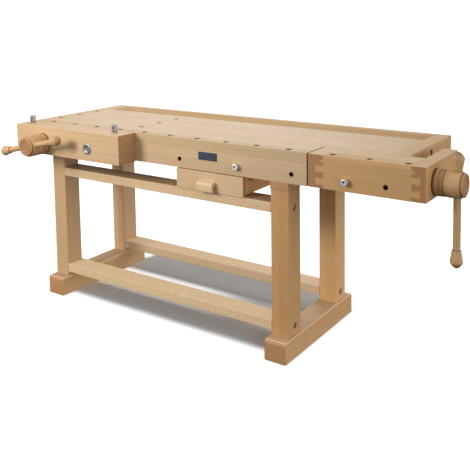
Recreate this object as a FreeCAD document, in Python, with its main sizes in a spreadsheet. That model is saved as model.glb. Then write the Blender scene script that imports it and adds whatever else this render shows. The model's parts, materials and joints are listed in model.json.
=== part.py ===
import FreeCAD, Part
import math
import os
import Sketcher
from FreeCAD import Vector, Placement, Rotation

# Cabinetmaker's bench with a front vise, a tail vise, a tool tray and a drawer.
# Millimetres, +Z up. X runs along the bench to the right, Y runs from front to back.
# All positions below are given from the bench's own corner: X from the left end of the
# top, Y from the front face of the top, Z from the floor. org_x and org_y move that
# corner so that the row's origin is under the middle of the whole object.

doc = FreeCAD.newDocument("workbench")
sheet = doc.addObject("Spreadsheet::Sheet", "dims")


class Dim:
    """A number that remembers how it is worked out from the sheet's cells."""

    def __init__(self, text, value):
        self.t = text
        self.v = float(value)

    def __add__(self, o):
        o = wrap(o)
        return Dim("(%s + %s)" % (self.t, o.t), self.v + o.v)

    def __radd__(self, o):
        return wrap(o) + self

    def __sub__(self, o):
        o = wrap(o)
        return Dim("(%s - %s)" % (self.t, o.t), self.v - o.v)

    def __rsub__(self, o):
        return wrap(o) - self

    def __mul__(self, o):
        o = wrap(o)
        return Dim("(%s * %s)" % (self.t, o.t), self.v * o.v)

    def __rmul__(self, o):
        return wrap(o) * self

    def __truediv__(self, o):
        o = wrap(o)
        return Dim("(%s / %s)" % (self.t, o.t), self.v / o.v)

    def __neg__(self):
        return Dim("(0 - %s)" % self.t, -self.v)


def wrap(o):
    if isinstance(o, Dim):
        return o
    return Dim("%.6g" % o if o >= 0 else "(0 - %.6g)" % (-o), o)


rows = []


def cell(alias, value):
    n = len(rows) + 1
    rows.append(alias)
    sheet.set("A%d" % n, alias)
    sheet.set("B%d" % n, "%.6g" % value)
    sheet.setAlias("B%d" % n, alias)
    return Dim("dims." + alias, value)


# ---------------------------------------------------------------- driving sizes
org_x = cell("org_x", 1061.181)
org_y = cell("org_y", 207.05)

top_z = cell("top_z", 860)            # height of the work surface
edge_h = cell("edge_height", 130)     # height of apron, caps and vise jaws
slab_t = cell("slab_thick", 56)
top_len = cell("top_length", 1914)
top_w = cell("top_width", 634)
apron_t = cell("apron_thick", 57)
apron_end = cell("apron_end", 1560)
cap_l = cell("cap_left_width", 72)
cap_r = cell("cap_right_width", 63)
slab_back = cell("slab_back", 474)
notch_y = cell("notch_depth", 146)
rail_t = cell("back_rail_thick", 24)
rail_h = cell("back_rail_height", 100)
floor_t = cell("tray_floor_thick", 14)
floor_in = cell("tray_floor_tongue", 12)
ramp_run = cell("ramp_run", 58)

hole_d = cell("dog_hole_dia", 25)
row_x = cell("dog_row_first", 116)
row_pitch = cell("dog_row_pitch", 150)
row_y = cell("dog_row_inset", 27)
col_y = cell("dog_column_first", 131)
col_pitch = cell("dog_column_pitch", 130)
col_a = cell("dog_column_left", 50)
col_b = cell("dog_column_right", 605)
face_d = cell("face_hole_dia", 20)
face_z = cell("face_hole_z", 768)
face_a = cell("face_hole_one", 936)
face_b = cell("face_hole_two", 1235)
face_c = cell("face_hole_three", 1492)

leg_w = cell("leg_width", 82)
leg_d = cell("leg_depth", 95)
leg_xl = cell("leg_left_x", 119)
leg_xr = cell("leg_right_x", 1393)
leg_yf = cell("leg_front_y", 6)
leg_yr = cell("leg_rear_y", 421)
foot_w = cell("foot_width", 100)
foot_h = cell("foot_height", 88)
foot_y = cell("foot_front", 42)
foot_len = cell("foot_length", 613)
foot_round = cell("foot_end_round", 14)
foot_ease = cell("foot_edge_round", 6)
ten_w = cell("tenon_width", 40)
ten_d = cell("tenon_depth", 60)
ten_h = cell("tenon_length", 40)
ten_up = cell("tenon_top", 18)
bear_z = cell("bearer_bottom", 697)
bear_h = cell("bearer_height", 33)
bear_out = cell("bearer_overhang", 5)
rib_w = cell("bearer_rib_width", 42)
str_z = cell("stretcher_bottom", 108)
str_t = cell("stretcher_thick", 42)
up_z = cell("rail_bottom", 599)
up_t = cell("rail_thick", 41)
up_w = cell("rail_width", 100)
arris = cell("arris", 2)
sink_d = cell("sunk_dia", 26)
sink_h = cell("sunk_depth", 14)
bolt_d = cell("bolt_dia", 10)
bolt_hole = cell("bolt_hole_dia", 10.6)
bolt_in = cell("bolt_reach", 62)
nut_d = cell("barrel_nut_dia", 16)
nut_at = cell("barrel_nut_inset", 45)
peg_d = cell("locating_peg_dia", 22)

screw_d = cell("screw_dia", 28)
slip = cell("running_gap", 0.08)
jaw_gap = cell("jaw_gap", 0.5)
jaw_len = cell("jaw_length", 680)
jaw_t = cell("jaw_thick", 110)
jaw_drop = cell("jaw_below_apron", 3)
fs_x = cell("front_screw_x", 188)
fs_z = cell("front_screw_z", 780)
fg_x = cell("front_guide_x", 486)
fg_z = cell("front_guide_z", 783)
fg_d = cell("front_guide_dia", 30)
fs_back = cell("front_screw_back", 330)
fg_back = cell("front_guide_back", 430)
flange_d = cell("flange_dia", 102)
flange_t = cell("flange_thick", 8)
hub_gap = cell("hub_gap", 0.5)
hub_l = cell("hub_length", 100)
hub_r = cell("hub_radius", 50)
bar_at = cell("handle_hole_at", 70)
bar_d = cell("handle_dia", 27)
bar_half = cell("handle_half", 144)
knob_l = cell("knob_length", 67)
knob_r = cell("knob_radius", 23.3)
bar_tilt = cell("front_handle_tilt", 12.7)
jd_y = cell("jaw_dog_inset", 55)
jd_a = cell("jaw_dog_left_x", 57)
jd_b = cell("jaw_dog_right_x", 609)

tv_x = cell("tail_jaw_x", 1566)
tv_end = cell("tail_end_x", 2031)
tv_jaw = cell("tail_jaw_width", 65)
tv_blk = cell("tail_end_width", 54)
tv_lap_l = cell("tail_lap_left", 31)
tv_lap_r = cell("tail_lap_right", 22)
tv_board = cell("tail_board_thick", 58)
tv_strip = cell("tail_strip_back", 145)
tv_strip_t = cell("tail_strip_thick", 24)
tv_back = cell("tail_end_back", 349)
ts_y = cell("tail_screw_y", 96)
ts_z = cell("tail_screw_z", 789)
tg_y = cell("tail_guide_y", 290)
tg_z = cell("tail_guide_z", 770)
tg_d = cell("tail_guide_dia", 24)
tg_x = cell("tail_guide_start", 1486)
tongue_y = cell("tongue_front", 61)
tongue_z = cell("tongue_top", 834)
tail_row = cell("tail_row_first", 1660)
tail_pitch = cell("tail_row_pitch", 148)
tail_face_a = cell("tail_face_one", 1725)
tail_face_b = cell("tail_face_two", 1881)

dr_x = cell("drawer_x", 917)
dr_w = cell("drawer_width", 348)
dr_z = cell("drawer_bottom_z", 642)
dr_h = cell("drawer_height", 83.5)
dr_t = cell("drawer_front_thick", 18)
dr_len = cell("drawer_depth", 430)
dr_side = cell("drawer_side_thick", 12)
dr_in = cell("drawer_side_inset", 13)
dr_bot = cell("drawer_base_thick", 6)
lip_w = cell("drawer_lip_width", 9)
lip_h = cell("drawer_lip_height", 10)
pull_w = cell("pull_width", 82)
pull_d = cell("pull_depth", 28)
pull_h = cell("pull_height", 42)
pull_x = cell("pull_offset", 126)

doc.recompute()


# ---------------------------------------------------------------- helpers
def role(body, name):
    for f in body.Origin.OriginFeatures:
        if f.Role == name:
            return f
    raise RuntimeError("no " + name)


def set_place(obj, x, y, z, rot=None):
    """Placement of a sub-part, bound to the sheet. x, y and z are from the bench's corner."""
    x, y, z = wrap(x) - org_x, wrap(y) - org_y, wrap(z)
    obj.Placement = Placement(Vector(x.v, y.v, z.v), rot or Rotation())
    obj.setExpression(".Placement.Base.x", x.t)
    obj.setExpression(".Placement.Base.y", y.t)
    obj.setExpression(".Placement.Base.z", z.t)


def new_body(label):
    b = doc.addObject("PartDesign::Body", label)
    b.Label = label
    return b


def sketch(body, plane, name, offset=0):
    s = body.newObject("Sketcher::SketchObject", name)
    s.AttachmentSupport = [(role(body, plane), "")]
    s.MapMode = "FlatFace"
    off = wrap(offset)
    if off.v != 0 or off.t != "0":
        s.AttachmentOffset = Placement(Vector(0, 0, off.v), Rotation())
        s.setExpression(".AttachmentOffset.Base.z", off.t)
    return s


def pin(s, geo, pos, a, b):
    """Fixes a sketch point at (a, b) by dimensions bound to the sheet."""
    a, b = wrap(a), wrap(b)
    for v, kind, axis in ((a, "DistanceX", -2), (b, "DistanceY", -1)):
        if abs(v.v) < 1e-9:
            s.addConstraint(Sketcher.Constraint("PointOnObject", geo, pos, axis))
        else:
            n = s.addConstraint(Sketcher.Constraint(kind, -1, 1, geo, pos, v.v))
            s.setExpression("Constraints[%d]" % n, v.t)


def polygon(s, pts):
    pts = [(wrap(a), wrap(b)) for a, b in pts]
    n = len(pts)
    first = None
    for i in range(n):
        p, q = pts[i], pts[(i + 1) % n]
        g = s.addGeometry(
            Part.LineSegment(Vector(p[0].v, p[1].v, 0), Vector(q[0].v, q[1].v, 0)), False
        )
        first = g if first is None else first
    for i in range(n):
        s.addConstraint(
            Sketcher.Constraint("Coincident", first + i, 2, first + (i + 1) % n, 1)
        )
    for i in range(n):
        pin(s, first + i, 1, pts[i][0], pts[i][1])
    return first


def circles(s, centres, dia):
    dia = wrap(dia)
    for a, b in centres:
        a, b = wrap(a), wrap(b)
        g = s.addGeometry(
            Part.Circle(Vector(a.v, b.v, 0), Vector(0, 0, 1), dia.v / 2), False
        )
        pin(s, g, 3, a, b)
        n = s.addConstraint(Sketcher.Constraint("Diameter", g, dia.v))
        s.setExpression("Constraints[%d]" % n, dia.t)


def pad(body, s, length, name, back=False):
    p = body.newObject("PartDesign::Pad", name)
    p.Profile = s
    length = wrap(length)
    p.Length = length.v
    p.setExpression("Length", length.t)
    p.Reversed = back
    doc.recompute()
    return p


def pocket(body, s, length, name, back=False):
    before = body.Shape.Volume
    p = body.newObject("PartDesign::Pocket", name)
    p.Profile = s
    length = wrap(length)
    p.Length = length.v
    p.setExpression("Length", length.t)
    p.Reversed = back
    doc.recompute()
    if body.Shape.Volume > before - 1:
        raise RuntimeError(name + " cuts nothing")
    return p


def board(label, x, y, z, dx, dy, dz, ease=False):
    """A rectangular piece of timber, its corner at x, y, z. ease breaks all its arrises."""
    b = new_body(label)
    s = sketch(b, "XY_Plane", label + "_outline")
    polygon(s, [(0, 0), (dx, 0), (dx, dy), (0, dy)])
    p = pad(b, s, dz, label + "_blank")
    if ease:
        c = b.newObject("PartDesign::Chamfer", label + "_arris")
        c.Base = (p, ["Edge%d" % (i + 1) for i in range(12)])
        c.Size = arris.v
        c.setExpression("Size", arris.t)
        doc.recompute()
    set_place(b, x, y, z)
    b.Label = label
    return b


def drill_down(b, name, centres, dia, depth, top):
    """Holes from the top face, in the body's own X and Y."""
    s = sketch(b, "XY_Plane", name + "_centres", top)
    circles(s, centres, dia)
    return pocket(b, s, depth, name)


def drill_up(b, name, centres, dia, depth):
    s = sketch(b, "XY_Plane", name + "_centres")
    circles(s, centres, dia)
    return pocket(b, s, depth, name, True)


def drill_back(b, name, centres, dia, depth, start=0):
    """Holes that run towards +Y, given as (x, z) in the body's own frame."""
    s = sketch(b, "XZ_Plane", name + "_centres", -wrap(start))
    circles(s, centres, dia)
    return pocket(b, s, depth, name)


def drill_left(b, name, centres, dia, depth, start):
    """Holes that run towards -X, given as (y, z) in the body's own frame."""
    s = sketch(b, "YZ_Plane", name + "_centres", start)
    circles(s, centres, dia)
    return pocket(b, s, depth, name)


def drill_right(b, name, centres, dia, depth):
    """Holes that run towards +X from the body's X = 0."""
    s = sketch(b, "YZ_Plane", name + "_centres")
    circles(s, centres, dia)
    return pocket(b, s, depth, name, True)


def turned(label, profile, x, y, z, rot=None):
    """A turned piece: profile is a list of (radius, height) and the axis is local Z."""
    b = new_body(label)
    s = sketch(b, "XZ_Plane", label + "_profile")
    polygon(s, profile)
    r = b.newObject("PartDesign::Revolution", label + "_turning")
    r.Profile = s
    r.ReferenceAxis = (s, ["V_Axis"])
    r.Angle = 360
    doc.recompute()
    set_place(b, x, y, z, rot)
    return b


ALONG_X = Rotation(Vector(0, 1, 0), 90)     # local Z points along +X
ALONG_NEG_X = Rotation(Vector(0, 1, 0), -90)
ALONG_Y = Rotation(Vector(1, 0, 0), -90)    # local Z points along +Y
ALONG_NEG_Y = Rotation(Vector(1, 0, 0), 90)


def cyl(name, rad, length, x, y, z, rot=None):
    c = doc.addObject("Part::Cylinder", name)
    rad, length = wrap(rad), wrap(length)
    c.Radius = rad.v
    c.Height = length.v
    c.setExpression("Radius", rad.t)
    c.setExpression("Height", length.t)
    set_place(c, x, y, z, rot)
    return c


def cuboid(name, dx, dy, dz, x, y, z):
    c = doc.addObject("Part::Box", name)
    for prop, v in (("Length", wrap(dx)), ("Width", wrap(dy)), ("Height", wrap(dz))):
        setattr(c, prop, v.v)
        c.setExpression(prop, v.t)
    set_place(c, x, y, z)
    return c


def prism(name, n, circum, height, x, y, z, rot=None):
    c = doc.addObject("Part::Prism", name)
    c.Polygon = n
    circum, height = wrap(circum), wrap(height)
    c.Circumradius = circum.v
    c.Height = height.v
    c.setExpression("Circumradius", circum.t)
    c.setExpression("Height", height.t)
    set_place(c, x, y, z, rot)
    return c


def fuse(name, parts):
    f = doc.addObject("Part::MultiFuse", name)
    f.Shapes = parts
    return f


def cut(name, a, b):
    f = doc.addObject("Part::Cut", name)
    f.Base = a
    f.Tool = b
    return f


def group(name, parts):
    f = doc.addObject("Part::Compound", name)
    f.Links = parts
    f.Label = name
    return f


edge_z = top_z - edge_h          # underside of apron, caps and jaws
slab_z = top_z - slab_t          # underside of the slab
parts = {}

# ---------------------------------------------------------------- stand
foot_in = (foot_w - leg_w) / 2
for side, lx in (("left", leg_xl), ("right", leg_xr)):
    # Sled foot: a long block whose ends are well rounded, with two mortises.
    b = new_body("foot_" + side)
    s = sketch(b, "YZ_Plane", "foot_%s_side" % side)
    polygon(s, [(0, 0), (foot_len, 0), (foot_len, foot_h), (0, foot_h)])
    p = pad(b, s, foot_w, "foot_%s_blank" % side)
    ends = [
        "Edge%d" % (i + 1)
        for i, e in enumerate(p.Shape.Edges)
        if e.BoundBox.XLength > 1 and e.BoundBox.ZMin > foot_h.v - 1
    ]
    f = b.newObject("PartDesign::Fillet", "foot_%s_ends" % side)
    f.Base = (p, ends)
    f.Radius = foot_round.v
    f.setExpression("Radius", foot_round.t)
    doc.recompute()
    sides = [
        "Edge%d" % (i + 1)
        for i, e in enumerate(f.Shape.Edges)
        if e.BoundBox.XLength < 0.01 and e.BoundBox.ZMax > 1
    ]
    g = b.newObject("PartDesign::Fillet", "foot_%s_sides" % side)
    g.Base = (f, sides)
    g.Radius = foot_ease.v
    g.setExpression("Radius", foot_ease.t)
    doc.recompute()
    s = sketch(b, "XY_Plane", "foot_%s_mortises" % side, foot_h)
    mx = (foot_w - ten_w) / 2 - 0.2
    for ly in (leg_yf, leg_yr):
        my = ly + foot_y + (leg_d - ten_d) / 2 - 0.2
        polygon(
            s,
            [(mx, my), (mx + ten_w + 0.4, my), (mx + ten_w + 0.4, my + ten_d + 0.4), (mx, my + ten_d + 0.4)],
        )
    pocket(b, s, ten_h + 1, "foot_%s_mortise" % side)
    set_place(b, lx - foot_in, -foot_y, 0)
    parts["foot_" + side] = b

leg_len = bear_z - foot_h
for side, lx in (("left", leg_xl), ("right", leg_xr)):
    for end, ly in (("front", leg_yf), ("rear", leg_yr)):
        name = "leg_%s_%s" % (end, side)
        b = board(name, lx, ly, foot_h, leg_w, leg_d, leg_len, True)
        # Tenons: a deep one into the foot and a short one into the bearer.
        tx, ty = (leg_w - ten_w) / 2, (leg_d - ten_d) / 2
        rect = [(tx, ty), (tx + ten_w, ty), (tx + ten_w, ty + ten_d), (tx, ty + ten_d)]
        s = sketch(b, "XY_Plane", name + "_lower_tenon")
        polygon(s, rect)
        pad(b, s, ten_h, name + "_tenon", True)
        s = sketch(b, "XY_Plane", name + "_upper_tenon", leg_len)
        polygon(s, rect)
        pad(b, s, ten_up, name + "_stub")
        # Bolt holes: a counterbore on the outer side and a hole right through.
        mid = leg_d / 2
        zs = [(mid, str_z + str_t / 2 - foot_h)]
        if end == "front":
            zs.append((mid, up_z + up_t / 2 - foot_h))
        if side == "left":
            drill_right(b, name + "_sunk", zs, sink_d, sink_h)
        else:
            drill_left(b, name + "_sunk", zs, sink_d, sink_h, leg_w)
        drill_left(b, name + "_bolt_hole", zs, bolt_hole, leg_w + 2, leg_w + 1)
        parts[name] = b

# Cross bearers: flat across the leg tops, with a narrow rib that carries the slab.
bear_len = leg_yr + leg_d - leg_yf + 2 * bear_out
for side, lx in (("left", leg_xl), ("right", leg_xr)):
    name = "bearer_" + side
    y0 = leg_yf - bear_out
    b = board(name, lx, y0, bear_z, leg_w, bear_len, bear_h)
    rx = wrap(0) if side == "left" else leg_w - rib_w
    ry = apron_t + 1 - y0
    ry2 = slab_back - 34 - y0
    s = sketch(b, "XY_Plane", name + "_rib_outline", bear_h)
    polygon(s, [(rx, ry), (rx + rib_w, ry), (rx + rib_w, ry2), (rx, ry2)])
    pad(b, s, slab_z - bear_z - bear_h, name + "_rib")
    s = sketch(b, "XY_Plane", name + "_mortises")
    tx, ty = (leg_w - ten_w) / 2 - 0.2, (leg_d - ten_d) / 2 - 0.2
    for ly in (leg_yf, leg_yr):
        oy = ly - y0 + ty
        polygon(
            s,
            [(tx, oy), (tx + ten_w + 0.4, oy), (tx + ten_w + 0.4, oy + ten_d + 0.4), (tx, oy + ten_d + 0.4)],
        )
    pocket(b, s, ten_up + 1, name + "_mortise", True)
    drill_down(b, name + "_peg_hole", [(leg_w / 2, row_y - y0)], peg_d + 0.2, 12, bear_h)
    parts[name] = b

span = leg_xr - leg_xl - leg_w


def cross_board(name, y, z, width, thick, hole_y):
    b = board(name, leg_xl + leg_w, y, z, span, width, thick, True)
    drill_right(b, name + "_bolt_left", [(hole_y, thick / 2)], bolt_hole, bolt_in + 6)
    drill_left(b, name + "_bolt_right", [(hole_y, thick / 2)], bolt_hole, bolt_in + 6, span)
    drill_up(b, name + "_nut_holes", [(nut_at, hole_y), (span - nut_at, hole_y)], nut_d + 0.1, thick - 7)
    parts[name] = b
    return b


cross_board("stretcher_front", leg_yf, str_z, leg_d, str_t, leg_d / 2)
cross_board("stretcher_rear", leg_yr, str_z, leg_d, str_t, leg_d / 2)
cross_board("rail_upper", leg_yf, up_z, up_w, up_t, leg_d / 2)


# Frame bolts: hexagon heads on washers at the bottom of each counterbore.
def bolt(name, x, y, z, to_right, length):
    rot = ALONG_X if to_right else ALONG_NEG_X
    sgn = 1 if to_right else -1
    w = cyl(name + "_washer", sink_d / 2 - 1.5, 2, x - 2 * sgn, y, z, rot)
    h = prism(name + "_head", 6, 9.2, 7, x - 9 * sgn, y, z, rot)
    sh = cyl(name + "_shank", bolt_d / 2, length + 2, x - 2 * sgn, y, z, rot)
    return fuse(name, [w, h, sh])


bolts = []
nuts = []
mid_y = {"front": leg_yf + leg_d / 2, "rear": leg_yr + leg_d / 2}
shank = leg_w - sink_h + bolt_in
for tag, yy, zz in (
    ("lf", mid_y["front"], str_z + str_t / 2),
    ("lr", mid_y["rear"], str_z + str_t / 2),
    ("uf", mid_y["front"], up_z + up_t / 2),
):
    bolts.append(bolt("bolt_%s_left" % tag, leg_xl + sink_h, yy, zz, True, shank))
    bolts.append(bolt("bolt_%s_right" % tag, leg_xr + leg_w - sink_h, yy, zz, False, shank))
    th = up_t if tag == "uf" else str_t
    z0 = zz - th / 2 + 2
    for k, nx in (("a", leg_xl + leg_w + nut_at), ("b", leg_xr - nut_at)):
        c = cyl("nut_%s_%s" % (tag, k), nut_d / 2, th - 9.5, nx, yy, z0)
        h = cyl("nut_%s_%s_hole" % (tag, k), bolt_d / 2, nut_d * 2, nx - nut_d, yy, zz, ALONG_X)
        nuts.append(cut("barrel_%s_%s" % (tag, k), c, h))
parts["frame_bolts"] = group("frame_bolts", bolts)

# ---------------------------------------------------------------- top
# Laminated slab, cut back at the right where the tail vise runs.
slab_len = top_len - cap_l - cap_r
b = new_body("top_slab")
s = sketch(b, "XY_Plane", "top_slab_outline")
step_x = apron_end - cap_l
polygon(
    s,
    [
        (0, 0), (step_x, 0), (step_x, notch_y - apron_t), (slab_len, notch_y - apron_t),
        (slab_len, slab_back - apron_t), (0, slab_back - apron_t),
    ],
)
pad(b, s, slab_t, "top_slab_blank")
drill_down(
    b, "top_slab_dog_holes",
    [(col_b - cap_l, col_y + col_pitch * k - apron_t) for k in range(3)],
    hole_d, slab_t, slab_t,
)
cap_bolt_z = slab_t / 2 - 3
left_bolts = [col_y + col_pitch / 2, col_y + col_pitch * 1.5, slab_back - 34]
right_bolts = [wrap(230), wrap(388)]
drill_right(b, "top_slab_bolts_left", [(v - apron_t, cap_bolt_z) for v in left_bolts], bolt_hole, bolt_in + 6)
drill_left(b, "top_slab_bolts_right", [(v - apron_t, cap_bolt_z) for v in right_bolts], bolt_hole, bolt_in + 6, slab_len)
drill_up(
    b, "top_slab_nut_holes",
    [(nut_at, v - apron_t) for v in left_bolts] + [(slab_len - nut_at, v - apron_t) for v in right_bolts],
    nut_d + 0.1, 42,
)
set_place(b, cap_l, apron_t, slab_z)
parts["top_slab"] = b

# Front apron: a thick board with the row of dog holes and three holes in its face.
apron_len = apron_end - cap_l
b = board("front_apron", cap_l, 0, edge_z, apron_len, apron_t, edge_h)
s = sketch(b, "XY_Plane", "front_apron_dog_centre", edge_h)
circles(s, [(row_x - cap_l, row_y)], hole_d)
p = pocket(b, s, edge_h, "front_apron_dog_hole")
lp = b.newObject("PartDesign::LinearPattern", "front_apron_dog_row")
lp.Originals = [p]
lp.Direction = (role(b, "X_Axis"), [""])
lp.Occurrences = 10
lp.Length = (row_pitch * 9).v
lp.setExpression("Length", (row_pitch * 9).t)
b.Tip = lp
doc.recompute()
drill_back(b, "front_apron_face_holes", [(v - cap_l, face_z - edge_z) for v in (face_a, face_b, face_c)], face_d, apron_t)
drill_back(b, "front_apron_screw_hole", [(fs_x - cap_l, fs_z - edge_z)], screw_d + 6, apron_t)
drill_back(b, "front_apron_guide_hole", [(fg_x - cap_l, fg_z - edge_z)], fg_d + 4, apron_t)
drill_up(b, "front_apron_peg_holes", [(leg_xl + leg_w / 2 - cap_l, row_y), (leg_xr + leg_w / 2 - cap_l, row_y)], peg_d + 0.2, 30)
parts["front_apron"] = b

# End caps.
b = board("end_cap_left", 0, 0, edge_z, cap_l, top_w, edge_h)
drill_down(b, "end_cap_left_dog_holes", [(col_a, col_y + col_pitch * k) for k in range(3)], hole_d, edge_h, edge_h)
cz = slab_z + cap_bolt_z - edge_z
drill_right(b, "end_cap_left_sunk", [(v, cz) for v in left_bolts], sink_d, sink_h)
drill_right(b, "end_cap_left_bolt_holes", [(v, cz) for v in left_bolts], bolt_hole, cap_l + 1)
parts["end_cap_left"] = b

# The right cap has a low tongue at the front, inside the tail vise, that holds its nut.
b = new_body("end_cap_right")
s = sketch(b, "YZ_Plane", "end_cap_right_outline")
polygon(
    s,
    [
        (0, 0), (top_w - tongue_y, 0), (top_w - tongue_y, edge_h), (notch_y - tongue_y, edge_h),
        (notch_y - tongue_y, tongue_z - edge_z), (0, tongue_z - edge_z),
    ],
)
pad(b, s, cap_r, "end_cap_right_blank")
drill_left(b, "end_cap_right_sunk", [(v - tongue_y, cz) for v in right_bolts], sink_d, sink_h, cap_r)
drill_left(b, "end_cap_right_bolt_holes", [(v - tongue_y, cz) for v in right_bolts], bolt_hole, cap_r + 1, cap_r)
drill_left(b, "end_cap_right_nut_hole", [(ts_y - tongue_y, ts_z - edge_z)], 46, cap_r + 1, cap_r)
drill_left(b, "end_cap_right_guide_hole", [(tg_y - tongue_y, tg_z - edge_z)], tg_d + 2 * slip, cap_r + 1, cap_r)
set_place(b, top_len - cap_r, tongue_y, edge_z)
parts["end_cap_right"] = b

# Tool tray: back rail with a groove, floor, and a sloping block at the left end.
b = new_body("rear_rail")
s = sketch(b, "YZ_Plane", "rear_rail_section")
rail_z = top_z - rail_h
g0 = slab_z - floor_t - rail_z
polygon(
    s,
    [
        (0, 0), (rail_t, 0), (rail_t, rail_h), (0, rail_h), (0, g0 + floor_t), (floor_in, g0 + floor_t),
        (floor_in, g0), (0, g0),
    ],
)
pad(b, s, slab_len, "rear_rail_blank")
set_place(b, cap_l, top_w - rail_t, rail_z)
parts["rear_rail"] = b

tray_y = top_w - rail_t
b = board("tray_floor", cap_l, slab_back - 30, slab_z - floor_t, slab_len, tray_y - slab_back + 30 + floor_in, floor_t)
parts["tray_floor"] = b

b = new_body("tray_ramp")
s = sketch(b, "XZ_Plane", "tray_ramp_section")
polygon(s, [(0, 0), (ramp_run, 0), (ramp_run, 1.5), (2, slab_t), (0, slab_t)])
pad(b, s, tray_y - slab_back, "tray_ramp_blank", True)
set_place(b, cap_l, slab_back, slab_z)
parts["tray_ramp"] = b

bolts = []
bz = slab_z + cap_bolt_z
for i, v in enumerate(left_bolts):
    bolts.append(bolt("cap_bolt_left_%d" % i, sink_h, v, bz, True, cap_l - sink_h + bolt_in))
    c = cyl("cap_nut_left_%d" % i, nut_d / 2, 38, cap_l + nut_at, v, slab_z + 2)
    h = cyl("cap_nut_left_%d_hole" % i, bolt_d / 2, nut_d * 2, cap_l + nut_at - nut_d, v, bz, ALONG_X)
    nuts.append(cut("cap_barrel_left_%d" % i, c, h))
for i, v in enumerate(right_bolts):
    bolts.append(bolt("cap_bolt_right_%d" % i, top_len - sink_h, v, bz, False, cap_r - sink_h + bolt_in))
    nx = top_len - cap_r - nut_at
    c = cyl("cap_nut_right_%d" % i, nut_d / 2, 38, nx, v, slab_z + 2)
    h = cyl("cap_nut_right_%d_hole" % i, bolt_d / 2, nut_d * 2, nx - nut_d, v, bz, ALONG_X)
    nuts.append(cut("cap_barrel_right_%d" % i, c, h))
parts["cap_bolts"] = group("cap_bolts", bolts)
parts["barrel_nuts"] = group("barrel_nuts", nuts)

# Two wooden pegs keep the top on its bearers.
pegs = [
    cyl("peg_" + k, peg_d / 2, 40, lx + leg_w / 2, row_y, edge_z - 11.5)
    for k, lx in (("left", leg_xl), ("right", leg_xr))
]
parts["locating_pegs"] = group("locating_pegs", pegs)

# A bare plate on the apron's face.
b = new_body("name_plate_blank")
s = sketch(b, "XZ_Plane", "name_plate_outline")
polygon(s, [(2, 0), (96, 0), (98, 2), (98, 33), (96, 35), (2, 35), (0, 33), (0, 2)])
pad(b, s, 1.5, "name_plate_sheet")
set_place(b, 1039, 0, 777)
parts["name_plate_blank"] = b

# ---------------------------------------------------------------- front vise
jaw_y = -jaw_t - jaw_gap          # front face of the jaw
jaw_z = edge_z - jaw_drop
jaw_h = edge_h + jaw_drop
b = board("front_jaw_block", 0, jaw_y, jaw_z, jaw_len, jaw_t, jaw_h)
drill_back(b, "front_jaw_screw_hole", [(fs_x, fs_z - jaw_z)], screw_d + 2 * slip, jaw_t)
drill_back(b, "front_jaw_guide_hole", [(fg_x, fg_z - jaw_z)], fg_d, jaw_t)
drill_down(b, "front_jaw_dog_holes", [(jd_a, jaw_t - jd_y), (jd_b, jaw_t - jd_y)], hole_d, 95, jaw_h)
parts["front_jaw_block"] = b

parts["front_flange"] = turned(
    "front_flange",
    [(screw_d / 2 + slip, 0), (flange_d / 2, 0), (flange_d / 2, flange_t - 1), (flange_d / 2 - 1, flange_t), (screw_d / 2 + slip, flange_t)],
    fs_x, jaw_y, fs_z, ALONG_NEG_Y,
)
parts["front_guide_bar"] = turned(
    "front_guide_bar",
    [(0, 0), (fg_d / 2, 0), (fg_d / 2, jaw_t + jaw_gap + fg_back - 2), (fg_d / 2 - 2, jaw_t + jaw_gap + fg_back), (0, jaw_t + jaw_gap + fg_back)],
    fg_x, jaw_y, fg_z, ALONG_Y,
)
# Zinc cap on the guide bar's end, domed at the rim with a sunk centre.
parts["front_guide_cap"] = turned(
    "front_guide_cap",
    [(0, 0), (25, 0), (25, 2), (22.5, 4.4), (17, 5), (12.5, 5), (11.5, 3.2), (0, 3.2)],
    fg_x, jaw_y, fg_z, ALONG_NEG_Y,
)

# Turned hub: a flange with three beads, a plain barrel, and a rounded nose with a ring.
hub_profile = [
    (screw_d / 2, 0), (hub_r - 3, 0), (hub_r, 2.5), (hub_r, 10.5), (hub_r - 3.6, 12.6), (hub_r - 3.6, 14.2),
    (hub_r - 0.3, 15.8), (hub_r - 0.3, 19.4), (hub_r - 2.4, 21), (hub_r - 0.4, 22.6), (hub_r - 0.4, 27),
    (hub_r - 4.4, 29), (hub_r - 4.4, 30.6), (hub_r - 1.4, 32.5), (hub_r - 0.6, 45), (hub_r - 0.2, 60),
    (hub_r - 0.6, 80), (hub_r - 1.6, hub_l - 13), (hub_r - 5.6, hub_l - 9.9), (hub_r - 8, hub_l - 8.6),
    (hub_r - 8, hub_l - 6.6), (hub_r - 6.2, hub_l - 5), (hub_r - 6.6, hub_l - 2), (hub_r - 9.5, hub_l),
    (35, hub_l + 0.9), (32.5, hub_l), (30.5, hub_l - 2.6), (20, hub_l - 2.4), (0, hub_l - 1.8),
    (0, 52), (screw_d / 2, 52),
]


def hub(label, x, y, z, rot, spin):
    """Hub with its cross hole. The axis is local Z and the cross hole is local X, then turned."""
    b = turned(label, hub_profile, x, y, z, rot)
    s = sketch(b, "YZ_Plane", label + "_cross_centre", -60)
    circles(s, [(0, bar_at)], bar_d + 2 * slip)
    pocket(b, s, 120, label + "_cross_hole", True)
    return b


hub_y = jaw_y - flange_t - hub_gap
tilt = Rotation(Vector(0, 1, 0), -12.7)
parts["front_hub"] = hub("front_hub", fs_x, hub_y, fs_z, tilt.multiply(ALONG_NEG_Y), 0)
screw_len = flange_t + hub_gap + 51.5
parts["front_screw_rod"] = turned(
    "front_screw_rod",
    [(0, 0), (screw_d / 2, 0), (screw_d / 2, screw_len + jaw_t + jaw_gap + fs_back - 2), (screw_d / 2 - 2, screw_len + jaw_t + jaw_gap + fs_back), (0, screw_len + jaw_t + jaw_gap + fs_back)],
    fs_x, jaw_y - screw_len, fs_z, ALONG_Y,
)

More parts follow.
